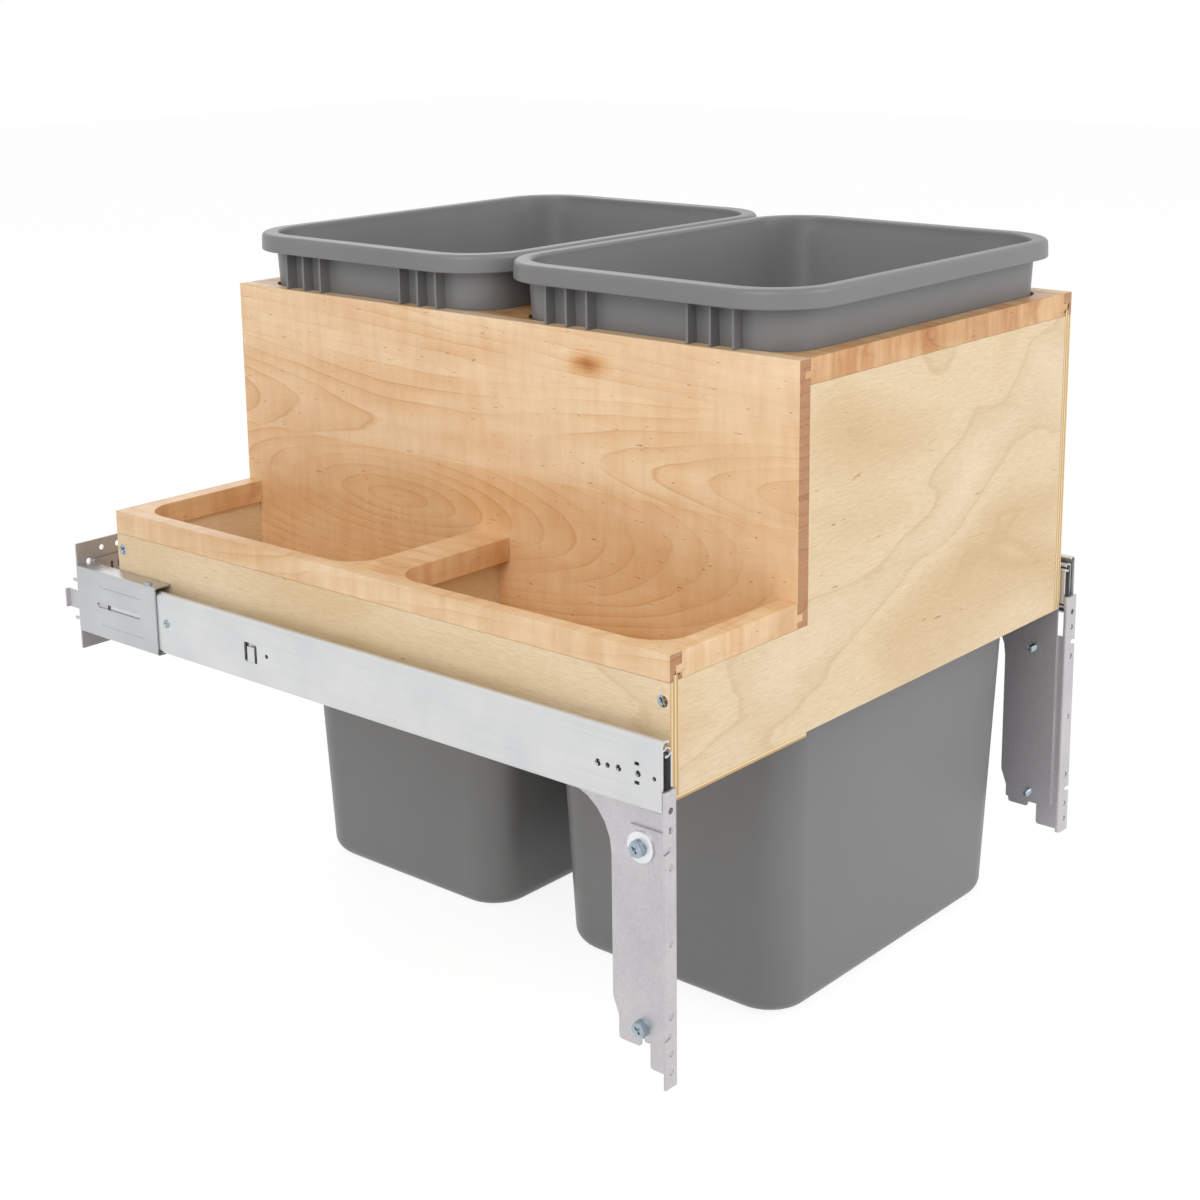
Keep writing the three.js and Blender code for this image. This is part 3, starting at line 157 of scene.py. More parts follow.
def birch_plywood(name, grain, thickness, shift):
    """Lacquered birch ply. grain and thickness are axes of the cabinet, shift moves the figure."""
    material = new_material(name)
    tree = material.node_tree
    place = add_node(tree, "TexCoord")
    turn = {"X": (0, 0, 0), "Y": (0, 0, -math.pi / 2), "Z": (0, math.pi / 2, 0)}[grain]
    mm = add_node(tree, "Mapping", {
        0: place.outputs["Object"], "Scale": (1000, 1000, 1000), "Location": shift})
    along = add_node(tree, "Mapping", {0: mm.outputs[0], "Rotation": turn})
    # contours of the peeled veneer: level lines of a slow noise, 240 mm long and 95 mm wide
    slow = add_node(tree, "Mapping", {0: along.outputs[0], "Scale": (1 / 240, 1 / 95, 1 / 95)})
    hills = add_node(tree, "TexNoise", {"Vector": slow.outputs[0], "Scale": 1.0, "Detail": 2.2,
                                        "Roughness": 0.42, "Distortion": 0.35})
    levels = add_node(tree, "Math", {0: hills.outputs["Fac"], 1: 4.2}, operation="MULTIPLY")
    level = add_node(tree, "Math", {0: levels.outputs[0]}, operation="FRACT")
    contour = add_node(tree, "ValToRGB", {0: level.outputs[0]}, stops=[
        (0.0, "#EED9B8"), (1.0, "#EED9B8"), (0.2, "#F1DDBD"), (0.9, "#E9D3B0"), (0.955, "#E2CBA5"),
        (0.985, "#E7D0AB")])
    # zones of sapwood and slightly darker wood
    zones = add_node(tree, "ValToRGB", {0: hills.outputs["Fac"]}, stops=[
        (0.34, "#FFFFFF"), (0.68, "#F4ECDC")])
    figured = add_node(tree, "Mix", {0: 1.0, 6: contour.outputs[0], 7: zones.outputs[0]},
                       data_type="RGBA", blend_type="MULTIPLY")
    # open vessels: streaks 0.45 mm wide and 8 mm long
    fine = add_node(tree, "Mapping", {0: along.outputs[0], "Scale": (1 / 8, 1 / 0.45, 1 / 0.45)})
    vessels = add_node(tree, "TexNoise", {
        "Vector": fine.outputs[0], "Scale": 1.0, "Detail": 3.0, "Roughness": 0.6})
    streaks = add_node(tree, "ValToRGB", {0: vessels.outputs["Fac"]}, stops=[
        (0.28, "#E6D3B4"), (0.6, "#FFFFFF")])
    fibred = add_node(tree, "Mix", {0: 0.62, 6: figured.outputs[2], 7: streaks.outputs[0]},
                      data_type="RGBA", blend_type="MULTIPLY")
    # bark pockets: rare brown dashes, the peaks of a noise 18 mm long and 3 mm wide
    rare = add_node(tree, "Mapping", {0: along.outputs[0], "Scale": (1 / 18, 1 / 3, 1 / 3)})
    spots = add_node(tree, "TexNoise", {"Vector": rare.outputs[0], "Scale": 1.0, "Detail": 1.5})
    pockets = add_node(tree, "ValToRGB", {0: spots.outputs["Fac"]}, stops=[
        (0.755, "#FFFFFF"), (0.785, "#C49A64")])
    face_wood = add_node(tree, "Mix", {0: 0.7, 6: fibred.outputs[2], 7: pockets.outputs[0]},
                         data_type="RGBA", blend_type="MULTIPLY")
    # sawn edge: veneers of PLY_SPACING, pale along the cut and brown where cut across
    split = add_node(tree, "SeparateXYZ", {0: place.outputs["Object"]})
    deep = add_node(tree, "Math", {0: split.outputs[thickness], 1: 500 / PLY_SPACING}, operation="MULTIPLY")
    layer = add_node(tree, "Math", {0: deep.outputs[0]}, operation="FRACT")
    plies = add_node(tree, "ValToRGB", {0: layer.outputs[0]}, stops=[
        (0.0, "#8A5C31"), (0.52, "#9C6B3C"), (0.04, "#EFD9AC"), (0.47, "#EBD2A0"), (0.57, "#D3A56B"),
        (0.96, "#C99A60")])
    facing = add_node(tree, "SeparateXYZ", {0: place.outputs["Normal"]})
    flat = add_node(tree, "Math", {0: facing.outputs[thickness]}, operation="ABSOLUTE")
    is_face = add_node(tree, "Math", {0: flat.outputs[0], 1: 0.6}, operation="GREATER_THAN")
    colour = add_node(tree, "Mix", {0: is_face.outputs[0], 6: plies.outputs[0], 7: face_wood.outputs[2]},
                      data_type="RGBA")
    bump = add_node(tree, "Bump", {"Strength": 0.16, "Distance": 0.0001, "Height": vessels.outputs["Fac"]})
    surface = add_node(tree, "BsdfPrincipled", {
        "Base Color": colour.outputs[2], "Roughness": 0.46, "IOR": 1.5,
        "Coat Weight": 0.12, "Coat Roughness": 0.3, "Normal": bump.outputs[0]})
    add_node(tree, "OutputMaterial", {"Surface": surface.outputs[0]})
    return material


def dress(name, material, edge=0.0):
    """Give a CAD solid its material, smooth its curves and ease its sharp edges by edge millimetres."""
    solid = nodes[name]
    solid.data.materials.clear()
    solid.data.materials.append(material)
    smooth = solid.modifiers.new("smooth_curves", "NODES")
    smooth.node_group = smooth_curves
    if edge:
        eased = solid.modifiers.new("eased_edges", "BEVEL")
        eased.width = edge / 1000
        eased.segments = 2
        eased.limit_method = "ANGLE"
        eased.angle_limit = math.radians(40)
        eased.harden_normals = True


# Faces that meet at less than 32 degrees belong to one curve and are shaded as one.
smooth_curves = bpy.data.node_groups.new("smooth_curves", "GeometryNodeTree")
smooth_curves.interface.new_socket("Geometry", in_out="INPUT", socket_type="NodeSocketGeometry")
smooth_curves.interface.new_socket("Geometry", in_out="OUTPUT", socket_type="NodeSocketGeometry")
entry = smooth_curves.nodes.new("NodeGroupInput")
weld = smooth_curves.nodes.new("GeometryNodeMergeByDistance")
weld.inputs["Distance"].default_value = 0.000005
plain = smooth_curves.nodes.new("GeometryNodeRemoveAttribute")
plain.inputs["Name"].default_value = "custom_normal"
rounded = smooth_curves.nodes.new("GeometryNodeSetShadeSmooth")
angle = smooth_curves.nodes.new("GeometryNodeInputMeshEdgeAngle")
sharp = smooth_curves.nodes.new("FunctionNodeCompare")
sharp.inputs[1].default_value = math.radians(32)
creased = smooth_curves.nodes.new("GeometryNodeSetShadeSmooth")
creased.domain = "EDGE"
creased.inputs["Shade Smooth"].default_value = False
leave = smooth_curves.nodes.new("NodeGroupOutput")
for start, end in [
    (entry.outputs[0], weld.inputs[0]), (weld.outputs[0], plain.inputs[0]),
    (plain.outputs[0], rounded.inputs[0]), (rounded.outputs[0], creased.inputs[0]),
    (angle.outputs[0], sharp.inputs[0]), (sharp.outputs[0], creased.inputs["Selection"]),
    (creased.outputs[0], leave.inputs[0]),
]:
    smooth_curves.links.new(start, end)

for panel, grain, thickness, shift, slot in [
    ("side_panel_left", "Y", "X", (40, 310, 0), "plywood_sides"),
    ("side_panel_right", "Y", "X", (90, 120, 50), "plywood_sides"),
    ("front_panel", "X", "Y", (0, 0, 0), "plywood_ends"),
    ("rear_panel", "X", "Y", (310, 0, 170), "plywood_ends"),
    ("tray_floor", "Y", "Z", (70, 0, 90), "plywood_tray"),
    ("tray_partition", "X", "Y", (20, 0, 400), "plywood_tray"),
]:
    dress(panel, birch_plywood(panel + "_lacquered_birch_plywood", grain, thickness, shift), edge=0.25)


# --- Maple frame and tall panel -------------------------------------------------------------
# Solid hard maple: rails and boards 18 mm high locked together with milled tongues, and the
# tall panel glued up from three boards. Planed, sanded and clear-lacquered, so the growth
# rings draw thin brown lines, the fibres a faint sheen, and the sawn ends look darker.
def hard_maple(name, grain, boards, mottle=0.2, knot=None):
    """Lacquered maple. Each board: the height or place where it starts, the axis across it, the
    middle of its log across, the log's depth below the face as bow * l^2 + slope * l + heart at
    length l, the width of a growth ring, all in mm, and the board's pale and deep colours."""
    material = new_material(name)
    tree = material.node_tree
    place = add_node(tree, "TexCoord")
    turn = {"X": (0, 0, 0), "Y": (0, 0, -math.pi / 2)}[grain]
    mm = add_node(tree, "Mapping", {0: place.outputs["Object"], "Scale": (1000, 1000, 1000)})
    along = add_node(tree, "Mapping", {0: mm.outputs[0], "Rotation": turn})
    split = add_node(tree, "SeparateXYZ", {0: along.outputs[0]})
    # the log is never straight: its heart wanders by some millimetres
    slow = add_node(tree, "Mapping", {0: along.outputs[0], "Scale": (1 / 140, 1 / 33, 1 / 33)})
    wander = add_node(tree, "TexNoise", {
        "Vector": slow.outputs[0], "Scale": 1.0, "Detail": 3.0, "Roughness": 0.45})
    broad = add_node(tree, "MapRange", {0: wander.outputs["Fac"], 1: 0.32, 2: 0.68, 3: 0.0, 4: 1.0})
    rings = tones = None
    for start, across, middle, (bow, slope, heart), ring, pale, deep in boards:
        bent = add_node(tree, "Math", {0: split.outputs["X"], 1: bow, 2: slope}, operation="MULTIPLY_ADD")
        depth = add_node(tree, "Math", {0: split.outputs["X"], 1: bent.outputs[0], 2: heart},
                         operation="MULTIPLY_ADD")
        side = add_node(tree, "Math", {0: split.outputs[across], 1: middle}, operation="SUBTRACT")
        radius = add_node(tree, "CombineXYZ", {0: depth.outputs[0], 1: side.outputs[0]})
        length = add_node(tree, "VectorMath", {0: radius.outputs[0]}, operation="LENGTH")
        counted = add_node(tree, "Math", {0: length.outputs["Value"], 1: ring}, operation="DIVIDE")
        shaken = add_node(tree, "Math", {0: wander.outputs["Fac"], 1: 9 / ring, 2: counted.outputs[0]},
                          operation="MULTIPLY_ADD").outputs[0]
        tone = add_node(tree, "Mix", {0: broad.outputs[0], 6: linear(pale), 7: linear(deep)},
                        data_type="RGBA").outputs[2]
        if rings is None:
            rings, tones = shaken, tone
            continue
        here = add_node(tree, "Math", {0: split.outputs[across], 1: start}, operation="GREATER_THAN")
        rings = add_node(tree, "Mix", {0: here.outputs[0], 2: rings, 3: shaken}, data_type="FLOAT").outputs[0]
        tones = add_node(tree, "Mix", {0: here.outputs[0], 6: tones, 7: tone}, data_type="RGBA").outputs[2]
    # growth rings: slowly darker through the year, a thin line, then pale at once
    year = add_node(tree, "Math", {0: rings}, operation="FRACT")
    late = add_node(tree, "ValToRGB", {0: year.outputs[0]}, stops=[
        (0.0, "#FFFFFF"), (1.0, "#FFFFFF"), (0.45, "#FDF7EE"), (0.85, "#F5E5CF"), (0.91, "#E2C49D"),
        (0.96, "#F8EDDD")])
    fading = add_node(tree, "Mapping", {0: along.outputs[0], "Scale": (1 / 83, 1 / 33, 1 / 33)})
    presence = add_node(tree, "TexNoise", {"Vector": fading.outputs[0], "Scale": 1.0, "Detail": 1.0})
    strength = add_node(tree, "MapRange", {0: presence.outputs["Fac"], 1: 0.32, 2: 0.68, 3: 0.08, 4: 0.72})
    ringed = add_node(tree, "Mix", {0: strength.outputs[0], 6: tones, 7: late.outputs[0]},
                      data_type="RGBA", blend_type="MULTIPLY")
    # fibres: streaks 0.6 mm wide and 20 mm long
    fine = add_node(tree, "Mapping", {0: along.outputs[0], "Scale": (1 / 20, 1 / 0.6, 1 / 0.6)})
    fibres = add_node(tree, "TexNoise", {
        "Vector": fine.outputs[0], "Scale": 1.0, "Detail": 3.0, "Roughness": 0.62})
    threads = add_node(tree, "ValToRGB", {0: fibres.outputs["Fac"]}, stops=[
        (0.28, "#EBD9C0"), (0.6, "#FFFFFF")])
    fibred = add_node(tree, "Mix", {0: 0.32, 6: ringed.outputs[2], 7: threads.outputs[0]},
                      data_type="RGBA", blend_type="MULTIPLY")
    # curl: bands across the grain where the fibres turn, about 12 mm apart
    curl_place = add_node(tree, "Mapping", {0: along.outputs[0], "Scale": (1 / 12, 1 / 55, 1 / 55)})
    curl = add_node(tree, "TexNoise", {
        "Vector": curl_place.outputs[0], "Scale": 1.0, "Detail": 2.5, "Roughness": 0.6})
    bands = add_node(tree, "ValToRGB", {0: curl.outputs["Fac"]}, stops=[(0.36, "#E0BC92"), (0.62, "#FFFFFF")])
    curled = add_node(tree, "Mix", {0: mottle, 6: fibred.outputs[2], 7: bands.outputs[0]},
                      data_type="RGBA", blend_type="MULTIPLY")
    # gum flecks: small brown dashes, the peaks of a noise 9 mm long and 1.6 mm wide
    dash = add_node(tree, "Mapping", {0: along.outputs[0], "Scale": (1 / 9, 1 / 1.6, 1 / 1.6)})
    gum = add_node(tree, "TexNoise", {"Vector": dash.outputs[0], "Scale": 1.0, "Detail": 1.0})
    flecks = add_node(tree, "ValToRGB", {0: gum.outputs["Fac"]}, stops=[
        (0.745, "#FFFFFF"), (0.78, "#B98A5E")])
    flat_wood = add_node(tree, "Mix", {0: 0.7, 6: curled.outputs[2], 7: flecks.outputs[0]},
                         data_type="RGBA", blend_type="MULTIPLY").outputs[2]
    if knot:
        # one pin knot: a brown spot drawn out along the grain, at (length, height)
        near = add_node(tree, "Mapping", {0: along.outputs[0], "Location": (-knot[0], 0, -knot[1])})
        flat_place = add_node(tree, "VectorMath", {0: near.outputs[0], 1: (0.45, 0, 1)}, operation="MULTIPLY")
        away = add_node(tree, "VectorMath", {0: flat_place.outputs[0]}, operation="LENGTH")
        rough = add_node(tree, "Math", {0: fibres.outputs["Fac"], 1: 6.0, 2: away.outputs["Value"]},
                         operation="MULTIPLY_ADD")
        reach = add_node(tree, "MapRange", {0: rough.outputs[0], 1: 3.0, 2: 15.0, 3: 0.0, 4: 1.0})
        spot = add_node(tree, "ValToRGB", {0: reach.outputs[0]}, stops=[
            (0.0, "#B9854F"), (1.0, "#FFFFFF"), (0.25, "#D2A672"), (0.6, "#F3E2C8")])
        flat_wood = add_node(tree, "Mix", {0: 1.0, 6: flat_wood, 7: spot.outputs[0]},
                             data_type="RGBA", blend_type="MULTIPLY").outputs[2]
    # sawn ends drink the lacquer: brown, with fine pores and the arcs of the rings
    pores = add_node(tree, "TexNoise", {"Vector": mm.outputs[0], "Scale": 1 / 0.9, "Detail": 3.0})
    ends = add_node(tree, "ValToRGB", {0: pores.outputs["Fac"]}, stops=[(0.3, "#A8764F"), (0.7, "#C4946A")])
    end_rings = add_node(tree, "Mix", {0: 0.8, 6: ends.outputs[0], 7: late.outputs[0]},
                         data_type="RGBA", blend_type="MULTIPLY")
    facing = add_node(tree, "SeparateXYZ", {0: place.outputs["Normal"]})
    endways = add_node(tree, "Math", {0: facing.outputs[grain]}, operation="ABSOLUTE")
    is_end = add_node(tree, "Math", {0: endways.outputs[0], 1: 0.8}, operation="GREATER_THAN")
    colour = add_node(tree, "Mix", {0: is_end.outputs[0], 6: flat_wood, 7: end_rings.outputs[2]},
                      data_type="RGBA")
    bump = add_node(tree, "Bump", {"Strength": 0.12, "Distance": 0.0001, "Height": fibres.outputs["Fac"]})
    surface = add_node(tree, "BsdfPrincipled", {
        "Base Color": colour.outputs[2], "Roughness": 0.42, "IOR": 1.5,
        "Coat Weight": 0.15, "Coat Roughness": 0.28, "Normal": bump.outputs[0]})
    add_node(tree, "OutputMaterial", {"Surface": surface.outputs[0]})
    return material


# The tall panel's boards from the bottom up. Lengths run along the cabinet's Y. A first board
# starts below everything, at LOWEST.
LOWEST = -1000
dress("tall_panel", hard_maple("tall_panel_lacquered_hard_maple", "Y", [
    (LOWEST, "Z", 347, (0, 0.22, -17.4), 6.5, "#F6D3A6", "#EBC08E"),
    (383, "Z", 405, (-0.000377, 0.01508, 45.65), 6.8, "#FADDB4", "#EFC99C"),
    (457, "Z", 640, (0, 0.05, 190), 6.0, "#FADEB8", "#EEC99C"),
], knot=(-119, 474)), edge=0.4)
dress("tray_rail_left", hard_maple("tray_rail_lacquered_hard_maple", "Y", [
    (LOWEST, "Z", 300, (0, 0.04, 60), 5.0, "#F1D4AC", "#E5C092")], mottle=0.3), edge=0.4)
dress("bin_rail_right", hard_maple("bin_rail_lacquered_hard_maple", "Y", [
    (LOWEST, "Z", 460, (0, 0.05, 80), 5.0, "#EFD1A8", "#E4BC8C")], mottle=0.3), edge=0.4)
for i, board in enumerate(["tray_board_front", "tray_board_middle", "tray_board_rear",
                           "bin_board_front", "bin_board_middle", "bin_board_rear"]):
    # each board comes from another place in the log, and the bin frame from browner heartwood
    pale, deep, mottle = ("#F6D8AE", "#E6BE8F", 0.45) if i < 3 else ("#E9C190", "#D6A872", 0.75)
    dress(board, hard_maple(board + "_lacquered_hard_maple", "X", [
        (LOWEST, "Y", 40 * i - 90, (0, 0.03 + 0.01 * i, 500 + 37 * i), 5.5, pale, deep)],
        mottle=mottle), edge=0.4)


# --- Waste bins -----------------------------------------------------------------------------
# Two bins of grey polyethylene, each injection moulded in one piece: drafted walls, a rounded
# floor edge, a turned-down rim and stiffening ribs under it at both ends. The mould leaves a
# fine orange-peel skin with a satin gloss.
bin_grey = new_material("moulded_grey_polyethylene_satin")
tree = bin_grey.node_tree
place = add_node(tree, "TexCoord")
# mould texture: 0.6 mm grit, drawn at 0.8 mm so that it shows, and flow marks 110 mm wide
grit = add_node(tree, "TexNoise", {"Vector": place.outputs["Object"], "Scale": 1000 / 0.8, "Detail": 2.0})
flow = add_node(tree, "TexNoise", {"Vector": place.outputs["Object"], "Scale": 1000 / 110, "Detail": 2.0})
colour = add_node(tree, "ValToRGB", {0: flow.outputs["Fac"]}, stops=[(0.3, "#777777"), (0.7, "#7D7D7D")])
shine = add_node(tree, "MapRange", {0: flow.outputs["Fac"], 1: 0.3, 2: 0.7, 3: 0.36, 4: 0.44})
bump = add_node(tree, "Bump", {"Strength": 0.12, "Distance": 0.0002, "Height": grit.outputs["Fac"]})
surface = add_node(tree, "BsdfPrincipled", {
    "Base Color": colour.outputs[0], "Roughness": shine.outputs[0], "IOR": 1.5,
    "Normal": bump.outputs[0]})
add_node(tree, "OutputMaterial", {"Surface": surface.outputs[0]})
BIN_CORNER_STEPS = 14


def add_piece(name, mesh, material, body, stands_for, angle=35):
    """A modelled piece in the cabinet's frame that rides a body and stands for CAD solids."""
    mesh.materials.append(material)
    for face in mesh.polygons:
        face.use_smooth = True
    mesh.set_sharp_from_angle(angle=math.radians(angle))
    piece = bpy.data.objects.new(name, mesh)
    bpy.context.scene.collection.objects.link(piece)
    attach(piece, body)
    if stands_for:
        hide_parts(*stands_for)


def bin_mesh(name, centre_y):
    """One bin as a closed skin: rings from the underside up the outside, over the rim and down the
    inside, and 12 ribs under the rim."""
    # sizes in mm: half length and width over the rim, and heights above the bins' undersides
    centre_x, half_x, half_y, top = 67.5, 188.3, 137.85, 540.9
    frame_top, lip, wall, floor = 497.7, 13.7, 2.6, 3.0
    body_x, body_y, body_corner, lean_per_mm, floor_round = 18.8, 13.5, 32, 0.0375, 13
    neck_x, neck_y, neck_corner, neck_round = 14.5, 12.5, 42.5, 2.4
    rim_corner, rim_round, lip_wall, neck_wall = 55, 3.6, 2.2, 2.0
    lip_foot = top - lip
    builder = bmesh.new()

    def ring(inset_x, inset_y, radius, z):
        made = []
        for quarter, (side_x, side_y) in enumerate([(1, 1), (-1, 1), (-1, -1), (1, -1)]):
            for i in range(BIN_CORNER_STEPS + 1):
                a = (quarter + i / BIN_CORNER_STEPS) * math.pi / 2
                made.append(builder.verts.new((
                    (centre_x + side_x * (half_x - inset_x - radius) + radius * math.cos(a)) / 1000,
                    (centre_y + side_y * (half_y - inset_y - radius) + radius * math.sin(a)) / 1000,
                    z / 1000)))
        return made

    def body(z, inward, tuck=0.0):
        lean = lean_per_mm * (frame_top - z) + inward + tuck
        return ring(body_x + lean, body_y + lean, body_corner - inward - tuck / 2, z)

    def turned_under(z, inward):
        radius = floor_round - inward
        return [body(z + radius * (1 - math.sin(math.radians(a))), inward,
                     radius * (1 - math.cos(math.radians(a)))) for a in (90, 78, 66, 54, 42, 30, 18, 6, 0)]

    def neck(inset, z):
        return ring(inset + neck_x, inset + neck_y, neck_corner - inset, z)

    def band(inset, z):
        return ring(inset, inset, rim_corner - inset, z)

    # outside, up to the underside of the rim, down the inside of the lip and up its outside
    rings = turned_under(0, 0)
    rings += [body(lip_foot - 3, 0), body(lip_foot, 0), neck(0.8 - neck_wall, top - 5)]
    rings += [neck(-neck_wall, top - 3.2), band(lip_wall + 1.2, top - 2.6), band(lip_wall + 0.2, top - 3.2)]
    rings += [band(lip_wall, top - 4.2), band(lip_wall, lip_foot + 0.5), band(lip_wall - 0.3, lip_foot)]
    rings += [band(0.5, lip_foot), band(0.1, lip_foot + 0.6), band(0.35, top - 6)]
    for degrees in (0, 18, 36, 54, 72, 90):
        s, c = math.sin(math.radians(degrees)), math.cos(math.radians(degrees))
        rings.append(band(0.5 + rim_round * (1 - c), top - rim_round * (1 - s)))
    # over the top of the rim and down the inside to the floor
    rings.append(neck(-neck_round, top))
    for degrees in (20, 45, 70, 90):
        s, c = math.sin(math.radians(degrees)), math.cos(math.radians(degrees))
        rings.append(neck(neck_round * (s - 1), top - neck_round * (1 - c)))
    rings += [neck(0.4, top - 8), body(lip_foot - 2, wall)]
    rings += list(reversed(turned_under(floor, wall)))
    for lower, upper in zip(rings, rings[1:]):
        for i in range(len(lower)):
            j = (i + 1) % len(lower)
            builder.faces.new((lower[i], lower[j], upper[j], upper[i]))
    builder.faces.new(list(reversed(rings[0])))
    builder.faces.new(rings[-1])

    # ribs 2 mm thick between the wall and the rim, three at each end of both short sides
    rib_places, rib_reach, face = (45, 64.5, 84), 10, half_x - body_x
    for side_x in (-1, 1):
        for side_y in (-1, 1):
            for offset in rib_places:
                y = centre_y + side_y * offset
                profile = [(face - 0.8, frame_top), (face + rib_reach - 0.4, frame_top),
                           (face + rib_reach, frame_top + 0.4), (face + rib_reach, top - 4),
                           (face + 4.9, top - 4), (face + 0.3, lip_foot - 3)]
                loops = [[builder.verts.new(((centre_x + side_x * x) / 1000, (y + half) / 1000, z / 1000))
                          for x, z in profile] for half in (-1, 1)]
                for i in range(len(profile)):
                    j = (i + 1) % len(profile)
                    builder.faces.new((loops[0][i], loops[0][j], loops[1][j], loops[1][i]))
                builder.faces.new(list(reversed(loops[0])))
                builder.faces.new(loops[1])
    bmesh.ops.recalc_face_normals(builder, faces=builder.faces)
    mesh = bpy.data.meshes.new(name)
    builder.to_mesh(mesh)
    builder.free()
    return mesh


for bin_name, centre_y, body in [("bin_front", -161.3, "front_bin"), ("bin_rear", 117.8, "rear_bin")]:
    add_piece(bin_name + "_moulded", bin_mesh(bin_name + "_moulded", centre_y), bin_grey, body,
              [bin_name])


# --- Slides ---------------------------------------------------------------------------------
# Cold-rolled steel strip, roll-formed into the three members of a full-extension ball-bearing
# slide and zinc-plated: a bright blue-white grey with faint rolling lines along its length.
def zinc_plated(name, colour, dark, rough, lengths):
    """Zinc on steel. lengths are the mm of one streak or speckle along X, Y and Z."""
    material = new_material(name)
    tree = material.node_tree
    place = add_node(tree, "TexCoord")
    mm = add_node(tree, "Mapping", {
        0: place.outputs["Object"], "Scale": [1000 / length for length in lengths]})
    lines = add_node(tree, "TexNoise", {
        "Vector": mm.outputs[0], "Scale": 1.0, "Detail": 3.0, "Roughness": 0.55})
    # clouds 45 mm wide where the bath took more or less
    clouds = add_node(tree, "TexNoise", {
        "Vector": place.outputs["Object"], "Scale": 1000 / 45, "Detail": 3.0})
    both = add_node(tree, "Math", {0: lines.outputs["Fac"], 1: clouds.outputs["Fac"]}, operation="ADD")
    even = add_node(tree, "Math", {0: both.outputs[0], 1: 0.5}, operation="MULTIPLY")
    tone = add_node(tree, "ValToRGB", {0: even.outputs[0]}, stops=[(0.32, dark), (0.66, colour)])
    shine = add_node(tree, "MapRange", {0: even.outputs[0], 1: 0.3, 2: 0.7, 3: rough + 0.07, 4: rough - 0.05})
    bump = add_node(tree, "Bump", {"Strength": 0.08, "Distance": 0.00005, "Height": lines.outputs["Fac"]})
    surface = add_node(tree, "BsdfPrincipled", {
        "Base Color": tone.outputs[0], "Metallic": 0.92, "Roughness": shine.outputs[0],
        "Normal": bump.outputs[0]})
    add_node(tree, "OutputMaterial", {"Surface": surface.outputs[0]})
    return material


rolled_zinc = zinc_plated("rolled_steel_bright_zinc", "#DEDEDE", "#CFD0D1", 0.32, (0.5, 100, 0.5))
drawn_zinc = zinc_plated("folded_steel_bright_zinc", "#CBCCCC", "#BCBDBF", 0.3, (0.5, 100, 0.5))
for hand in ("left", "right"):
    for part in ("cabinet_member", "intermediate_member", "drawer_member", "outer_ball_cage",
                 "inner_ball_cage"):
        dress(f"{part}_{hand}", rolled_zinc)
    dress(f"rear_sleeve_{hand}", drawn_zinc)


# --- Brackets -------------------------------------------------------------------------------
# Door brackets, the plates that carry them and the rear brackets: galvanised steel sheet
# 1.6 to 1.8 mm thick, punched and bent, a duller grey with a fine speckle.
galvanised = zinc_plated("punched_sheet_galvanised", "#D2CFD1", "#C2BFC2", 0.46, (2, 2, 2))
for hand in ("left", "right"):
    for part in ("rear_bracket", "door_plate", "door_bracket"):
        dress(f"{part}_{hand}", galvanised, edge=0.2)


# --- Screws and bolts -----------------------------------------------------------------------
# Cold-headed steel, zinc-plated and blue-passivated: bright with a cold blue cast. Heads are
# stamped with a cross recess, and the shanks carry a rolled thread.
blue_zinc = zinc_plated("blue_passivated_zinc", "#B9C5CD", "#93A1AC", 0.25, (3.3, 3.3, 3.3))
HEAD_STEPS = 32


